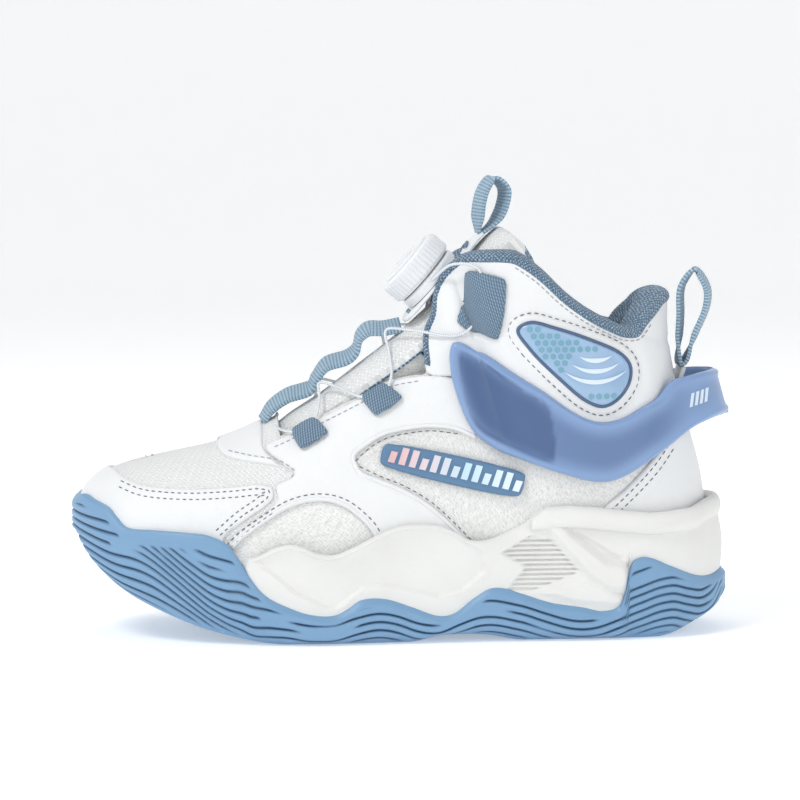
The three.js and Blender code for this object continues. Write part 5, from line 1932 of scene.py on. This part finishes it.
@dataclass
class Webbing:
    """The pull loops, the three-humped instep webbing and the lace guides."""

    heel_loop: Pairs = field(default_factory=lambda: [
        [107.2, 100.6], [107.2, 119.9], [107.8, 131.6], [113.4, 138], [118.8, 131], [118.9, 123.6], [114.4, 112.4],
            [109.6, 101.4],
    ])
    tongue_loop: Pairs = field(default_factory=lambda: [
        [29.4, 150.9], [28.7, 158], [30.8, 168.6], [35, 173.4], [40, 169], [39.4, 162], [36.2, 155.9],
    ])
    instep: Pairs = field(default_factory=lambda: [
        [-52.6, 80.4], [-49.7, 85], [-43.3, 89.8], [-34.6, 92.9], [-32.6, 96.4], [-28.5, 101.8], [-20.4, 104.6],
        [-17.4, 107.4], [-15.6, 112.6], [-12.4, 115.4], [-6.8, 115.6], [0, 116.9],
    ])
    guides: dict[str, Pairs] = field(default_factory=lambda: {
        "front": [[-43.2, 79.4], [-34.2, 84.6], [-29.1, 79.3], [-39.5, 72.9]],
        "mid": [[-17, 92.2], [-8.1, 97.4], [-1.2, 92], [-11.4, 85.2]],
        "collar": [[22, 138.6], [36.4, 135.8], [36, 122.3], [33.3, 112.9], [19, 119.6], [21.4, 126.5]],
    })

    def build(self) -> None:
        """Builds every webbing piece."""
        self.loop("heel_pull_webbing", self.heel_loop, 13, 1.5, "heel_loop", "heel_pull_loop", 0.30)
        self.loop("tongue_pull_webbing", self.tongue_loop, 12, 1.4, "tongue_loop", "tongue_pull_loop", -0.28)
        self.strap()
        for place, outline in self.guides.items():
            panel = Panel("guide_" + place, rounded(outline, 0.6), 1.8, 4.3, edge=1.0, step=1.4, wall=0.9,
                groove=self.fold)
            for piece in panel.build():
                side = piece.name[piece.name.rindex("_") :]
                dress(piece, WEBBING, replaces=["lace_guide_" + place + side])
        self.heel_tab()

    @staticmethod
    def fold(side: Array, away: Array) -> Array:
        """A soft swell where the wire runs inside the folded webbing."""
        return 0.5 * smoothstep(away, 1.0, 5.0)

    def loop(self, name: str, outline: Pairs, width: float, thickness: float, body: str, node: str,
        twist: float) -> None:
        """A closed loop of webbing, its middle line half a thickness inside the outline.

        Args:
            name: The piece's name.
            outline: The side-view outline of the loop's outer face.
            width: The webbing's width.
            thickness: The webbing's thickness.
            body: The body that it rides on.
            node: The CAD node that it replaces.
            twist: How far the webbing turns to face the side, as a slope.
        """
        line = curve_through(outline, 0.8, closed=True)
        ahead = np.roll(line, -1, axis=0) - np.roll(line, 1, axis=0)
        ahead /= np.linalg.norm(ahead, axis=1, keepdims=True)
        area = np.sum(line[:, 0] * np.roll(line[:, 1], -1) - np.roll(line[:, 0], -1) * line[:, 1])
        inward = np.stack([-ahead[:, 1], ahead[:, 0]], axis=1) * np.sign(area)
        middle = line + inward * thickness / 2
        path = np.column_stack([middle[:, 0], np.zeros(len(middle)), middle[:, 1]])
        rise = (path[:, 2] - path[:, 2].min()) / np.ptp(path[:, 2])
        across = np.column_stack([twist * smoothstep(rise, 0, 0.35), np.ones(len(path)), np.zeros(len(path))])
        piece = sweep(name, swung(path) / MM, across, flat_section(width, thickness), closed=True)
        dress(piece, PALE_WEBBING, body, [node])

    def strap(self) -> None:
        """The instep webbing, standing in three humps on the tongue."""
        line = curve_through(self.instep, 0.7)
        path = np.column_stack([line[:, 0], np.zeros(len(line)), line[:, 1]])
        across = np.tile([0, 1.0, 0.35], (len(path), 1))
        piece = sweep("instep_strap", swung(path) / MM, across, flat_section(12, 1.8))
        dress(piece, PALE_WEBBING, "tongue", ["instep_webbing"])

    def heel_tab(self) -> None:
        """The leather tab that holds the heel loop down, a bent strip."""
        z = np.linspace(92.6, 100.2, 12)
        across = np.linspace(-7.4, 7.4, 25)
        x = 107.4 + 1.4 * smoothstep(z, 95, 100)[:, None] - 0.012 * across[None] ** 2
        points = np.stack([x, np.repeat(across[None], 12, 0), np.repeat(z[:, None], 25, 1)], axis=-1)
        piece = grid_piece("heel_loop_leather_tab", swung(points))
        solidify(piece, 1.6, 0.0)
        dress(piece, LEATHER, replaces=["heel_loop_tab"])


@dataclass
class Laces:
    """The wire on each side, from the dial through three guides to the instep webbing."""

    port: tuple[float, float, float] = (10.6, -14.6, 134.6)
    lift: float = 3.15
    radius: float = 0.55

    def side(self, x: float, z: float) -> list[float]:
        """A point of the wire lying on the leather."""
        w, v = LAST.locate(np.array([[x, z]]), self.lift)
        return LAST.lift(w, v, self.lift)[0].tolist()

    def route(self) -> Array:
        """The wire's points, listed one by one."""
        spots = [
            list(self.port), [18, -23, 141], self.side(27, 139.6), self.side(29, 130), self.side(26.5, 120),
                self.side(20, 114.6),
            [3, -17, 116], [-6.2, -8.6, 115.4], [-5.4, -14.5, 107.5], self.side(-5.2, 98.4), self.side(-9.2, 91.6),
            self.side(-16.4, 91.4), [-24, -14.6, 94], [-31.5, -8.6, 95.4], [-31.6, -13, 90.8], self.side(-32.8, 85.2),
            self.side(-36, 78.6), self.side(-43.6, 78.2), [-48, -10, 79.4], [-47, -1, 82.9],
        ]
        return curve_through(spots, 0.8)

    def build(self) -> None:
        """Sweeps both wires."""
        path = self.route()
        for side, sign, fixed, free in (("lateral", 1, -0.0245, -0.0212), ("medial", -1, 0.0198, 0.0145)):
            moved = swung(path * np.array([1, sign, 1])) / MM
            across = np.tile([0.2, 1.0, 0.3], (len(path), 1))
            piece = sweep("lace_wire_" + side + "_cord", moved, across, round_section(self.radius, 10))
            dress(piece, WIRE, None, ["lace_wire_" + side])
            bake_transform(piece)


@dataclass
class Dial:
    """The closure dial, built round its turning axis as the CAD has it."""

    teeth: int = 44

    def __post_init__(self) -> None:
        """Reads the dial's place and axis from the frame's joints."""
        joint = next(j for j in frame["record"]["behaviour"]["joints"] if j["name"] == "knob_turn")
        self.base = np.array(joint["pos_m"]) / MM
        self.axis = np.array(joint["axis"], float)
        self.axis /= np.linalg.norm(self.axis)
        self.side = np.array([0, 1.0, 0])
        self.up = np.cross(self.side, self.axis)

    def placed(self, local: Array) -> Array:
        """Turns points in the dial's own frame into metres in the shoe's."""
        return (self.base + local[..., :1] * self.up + local[..., 1:2] * self.side + local[..., 2:] * self.axis) * MM

    def turned(self, name: str, profile: Pairs, finish: Finish, body: str, nodes: Sequence[str],
        knurl: tuple[float, float, float] | None = None) -> None:
        """A turned piece: a closed profile of radius and height, swept round the axis.

        Args:
            name: The piece's name.
            profile: Radius and height pairs, from the axis out and back to the axis.
            finish: Its finish.
            body: The body that it rides on.
            nodes: The CAD nodes that it replaces.
            knurl: Radius from which the ridges start, their depth and the share of a ridge.
        """
        line = resampled(np.asarray(rounded_profile(profile)), 0.35)
        angle = np.linspace(0, 2 * math.pi, 352, endpoint=False)
        radius = np.repeat(line[:, :1], len(angle), axis=1)
        if knurl:
            start, depth, share = knurl
            wave = smoothstep(np.abs(((angle * self.teeth / (2 * math.pi)) % 1) - 0.5) * 2, 1 - share, 1.0)
            band = smoothstep(line[:, 0], start - 0.2, start)[:, None]
            radius = radius - depth * wave[None] * band
        local = np.stack([radius * np.cos(angle), radius * np.sin(angle), np.repeat(line[:, 1:], len(angle), axis=1)],
            axis=-1)
        piece = grid_piece(name, self.placed(local), wrap_columns=True)
        dress(tidy_normals(piece), finish, body, nodes)

    def build(self) -> None:
        """Builds the base plate, the housing and the knob with its grip and cap."""
        self.plate()
        self.turned("dial_case", [[0, 1.7], [13, 1.7], [13.4, 4.8], [12.6, 5.7], [11, 5.7], [11, 9], [8.8, 9], [8.8,
            3.2], [0, 3.2]], PLASTIC, "tongue", ["dial_housing"])
        self.turned(
            "knob_shell",
            [[0, 13.7], [11.6, 13.7], [11.8, 6.2], [13.3, 6.2], [13.5, 14.3], [12.9, 15.1], [11.4, 15.3],
                [11.0, 14.9], [0, 14.9]],
            PLASTIC, "knob", ["knob_body"],
        )
        self.turned("knob_ridged_grip", [[13.35, 6.9], [14.1, 6.9], [14.25, 7.5], [14.25, 13.4], [14.0, 14.0], [13.35,
            14.0], [13.35, 6.9]], GRIP, "knob", ["knob_grip"], (14.0, 0.5, 0.5))
        self.turned("knob_face", [[0, 15.0], [10.7, 15.0], [10.8, 15.5], [10.2, 15.9], [8.8, 16.0], [8.2, 15.7], [7.8,
            15.7], [7.2, 16.1], [0, 16.2]], PLASTIC, "knob", ["knob_cap"])
        self.arrows()

    def plate(self) -> None:
        """The rounded base plate with a bevelled edge."""
        angle = np.linspace(0, 2 * math.pi, 160, endpoint=False)
        power = 0.55
        x = -3 + 15.5 * np.sign(np.cos(angle)) * np.abs(np.cos(angle)) ** power
        y = 13.5 * np.sign(np.sin(angle)) * np.abs(np.sin(angle)) ** power
        rings = []
        for share, height in ((0.0, 0.1), (0.96, 0.1), (1.0, 0.4), (1.0, 1.1), (0.96, 1.5), (0.0, 1.5)):
            px, py = -3 + (x + 3) * share, y * share
            rings.append(np.stack([px, py, np.full(160, height)], axis=1))
        piece = grid_piece("dial_plate", self.placed(np.stack(rings)), wrap_columns=True)
        dress(tidy_normals(piece), PLASTIC, "tongue", ["dial_base_plate"])
        bars = [(-15.2, 2.2), (-15.2, -1.0), (-15.2, -4.2), (-15.2, 5.4)]
        points = np.concatenate([self.bar(x0, y0) for x0, y0 in bars])
        tile = np.array([[0, 1, 2, 3], [7, 6, 5, 4], [0, 4, 5, 1], [1, 5, 6, 2], [2, 6, 7, 3], [3, 7, 4, 0]])
        faces = np.vstack([tile + 8 * n for n in range(len(bars))])
        dress(tidy_normals(put_mesh("dial_plate_bars", self.placed(points), faces), 1e-7), WEBBING, "tongue")

    @staticmethod
    def bar(x: float, y: float) -> Array:
        """The eight corners of one small slanted bar on the plate."""
        flat = np.array([[x, y], [x + 1.2, y], [x + 1.6, y + 2.0], [x + 0.4, y + 2.0]])
        return np.vstack([np.column_stack([flat, np.full(4, h)]) for h in (1.3, 1.9)])

    def arrows(self) -> None:
        """Two raised curved arrows on the knob's face, showing that it turns."""
        for number, start in enumerate((0.3, 0.3 + math.pi)):
            turn = np.linspace(start, start + 1.9, 40)
            path = self.placed(np.stack([5.4 * np.cos(turn), 5.4 * np.sin(turn), np.full(40, 16.25)], axis=1)) / MM
            across = path - (self.base + self.axis * 16.25)
            dress(sweep(f"knob_arrow_{number}", path, across, flat_section(1.3, 0.5, 0.2)), PLASTIC, "knob")


def rounded_profile(profile: Pairs, cut: float = 0.3) -> Array:
    """Softens a turned profile's corners by cutting each into three points of an arc.

    Args:
        profile: The corners.
        cut: The longest cut, in millimetres.

    Returns:
        The softened profile.
    """
    p = np.asarray(profile, float)
    rows = [p[0]]
    for before, at, after in zip(p[:-2], p[1:-1], p[2:]):
        a, b = before - at, after - at
        reach_a, reach_b = min(cut, np.linalg.norm(a) * 0.4), min(cut, np.linalg.norm(b) * 0.4)
        first, second = at + a / np.linalg.norm(a) * reach_a, at + b / np.linalg.norm(b) * reach_b
        rows += [first, (first + second) * 0.25 + at * 0.5, second]
    rows.append(p[-1])
    return np.array(rows)


# ---------------------------------------------------------------- hidden CAD pieces, light and camera


def dress_hidden_nodes() -> None:
    """Gives the CAD nodes that stay, all of them inside the shoe or the dial, their finishes."""
    finishes = {
        "shank_plate": STIFFENER, "lasting_board": BOARD, "toe_puff": STIFFENER, "heel_counter": STIFFENER,
        "dial_spool": PLASTIC, "dial_axle_screw": STEEL, "ratchet_disc": PLASTIC, "knob_retainer": STEEL,
    }
    for name, finish in finishes.items():
        node = bpy.data.objects[name]
        if node.material_slots:
            node.material_slots[0].material = finish.material()
        else:
            node.data.materials.append(finish.material())
        LOG.info("%s keeps its CAD mesh", name)


@dataclass
class Studio:
    """A pale floor, soft lights and the camera."""

    azimuth: float = -4.0
    elevation: float = 5.0
    distance: float = 1.3
    target: tuple[float, float, float] = (0.0, 0.0, 0.0878)
    view_mm: float = 0.3063

    def build(self) -> None:
        """Adds the floor, the lights, the world and the camera."""
        self.floor()
        self.lights()
        self.camera()

    def floor(self) -> None:
        """A round floor that rises into a backdrop on every side: a flat run, then a quarter circle, then a wall."""
        turn = np.linspace(0, math.pi / 2, 16)
        reach = np.concatenate([np.linspace(0, 3, 24), 3 + 1.5 * np.sin(turn)[1:], [4.5]])
        z = np.concatenate([np.zeros(24), 1.5 * (1 - np.cos(turn))[1:], [3]])
        angle = np.linspace(0, 2 * math.pi, 72, endpoint=False)
        points = np.stack([np.outer(np.cos(angle), reach), np.outer(np.sin(angle), reach), np.tile(z, (72, 1))],
            axis=-1)
        piece = tidy_normals(grid_piece("studio_floor", points, wrap_rows=True))
        piece.data.materials.append(FLOOR.material())

    def lights(self) -> None:
        """A large key above the toe, a fill, a back light and a bright world."""
        for name, place, size, power in (
            ("key_light", (-0.7, -0.6, 1.2), 0.5, 8.0),
            ("fill_light", (0.9, -1.1, 0.7), 1.2, 2.4),
            ("top_light", (0.1, 0.5, 1.5), 1.4, 5.0),
        ):
            data = bpy.data.lights.new(name, "AREA")
            data.shape, data.size, data.energy = "DISK", size, power
            lamp = bpy.data.objects.new(name, data)
            lamp.location = place
            lamp.rotation_euler = (Vector((0, 0, 0.08)) - Vector(place)).to_track_quat("-Z", "Y").to_euler()
            bpy.context.scene.collection.objects.link(lamp)
        world = bpy.data.worlds.new("studio_world")
        world.use_nodes = True
        world.node_tree.nodes["Background"].inputs["Color"].default_value = (0.95, 0.97, 1.0, 1)
        world.node_tree.nodes["Background"].inputs["Strength"].default_value = 0.34
        bpy.context.scene.world = world
        bpy.context.scene.view_settings.view_transform = "Standard"

    def camera(self) -> None:
        """A long lens level with the shoe, looking at its outer side."""
        turn, tilt = math.radians(self.azimuth), math.radians(self.elevation)
        back = Vector((math.sin(turn) * math.cos(tilt), -math.cos(turn) * math.cos(tilt), math.sin(tilt)))
        data = bpy.data.cameras.new("camera")
        data.sensor_width = 36
        data.lens = 36 * self.distance / self.view_mm
        eye = bpy.data.objects.new("camera", data)
        eye.location = Vector(self.target) + back * self.distance
        eye.rotation_euler = (-back).to_track_quat("-Z", "Y").to_euler()
        bpy.context.scene.collection.objects.link(eye)
        bpy.context.scene.camera = eye


def main() -> None:
    """Builds the studio, then the shoe's sub-assemblies in order, then gives the kept CAD nodes their finishes."""
    logging.basicConfig(level=logging.INFO, format="%(name)s %(message)s")
    for part in (Studio(), Sole(), Inside(), Upper(), HeelWing(), Collar(), Tongue(), Webbing(), Laces(), Dial()):
        part.build()
        LOG.info("%s done", type(part).__name__)
    dress_hidden_nodes()


if __name__ == "__main__":
    main()
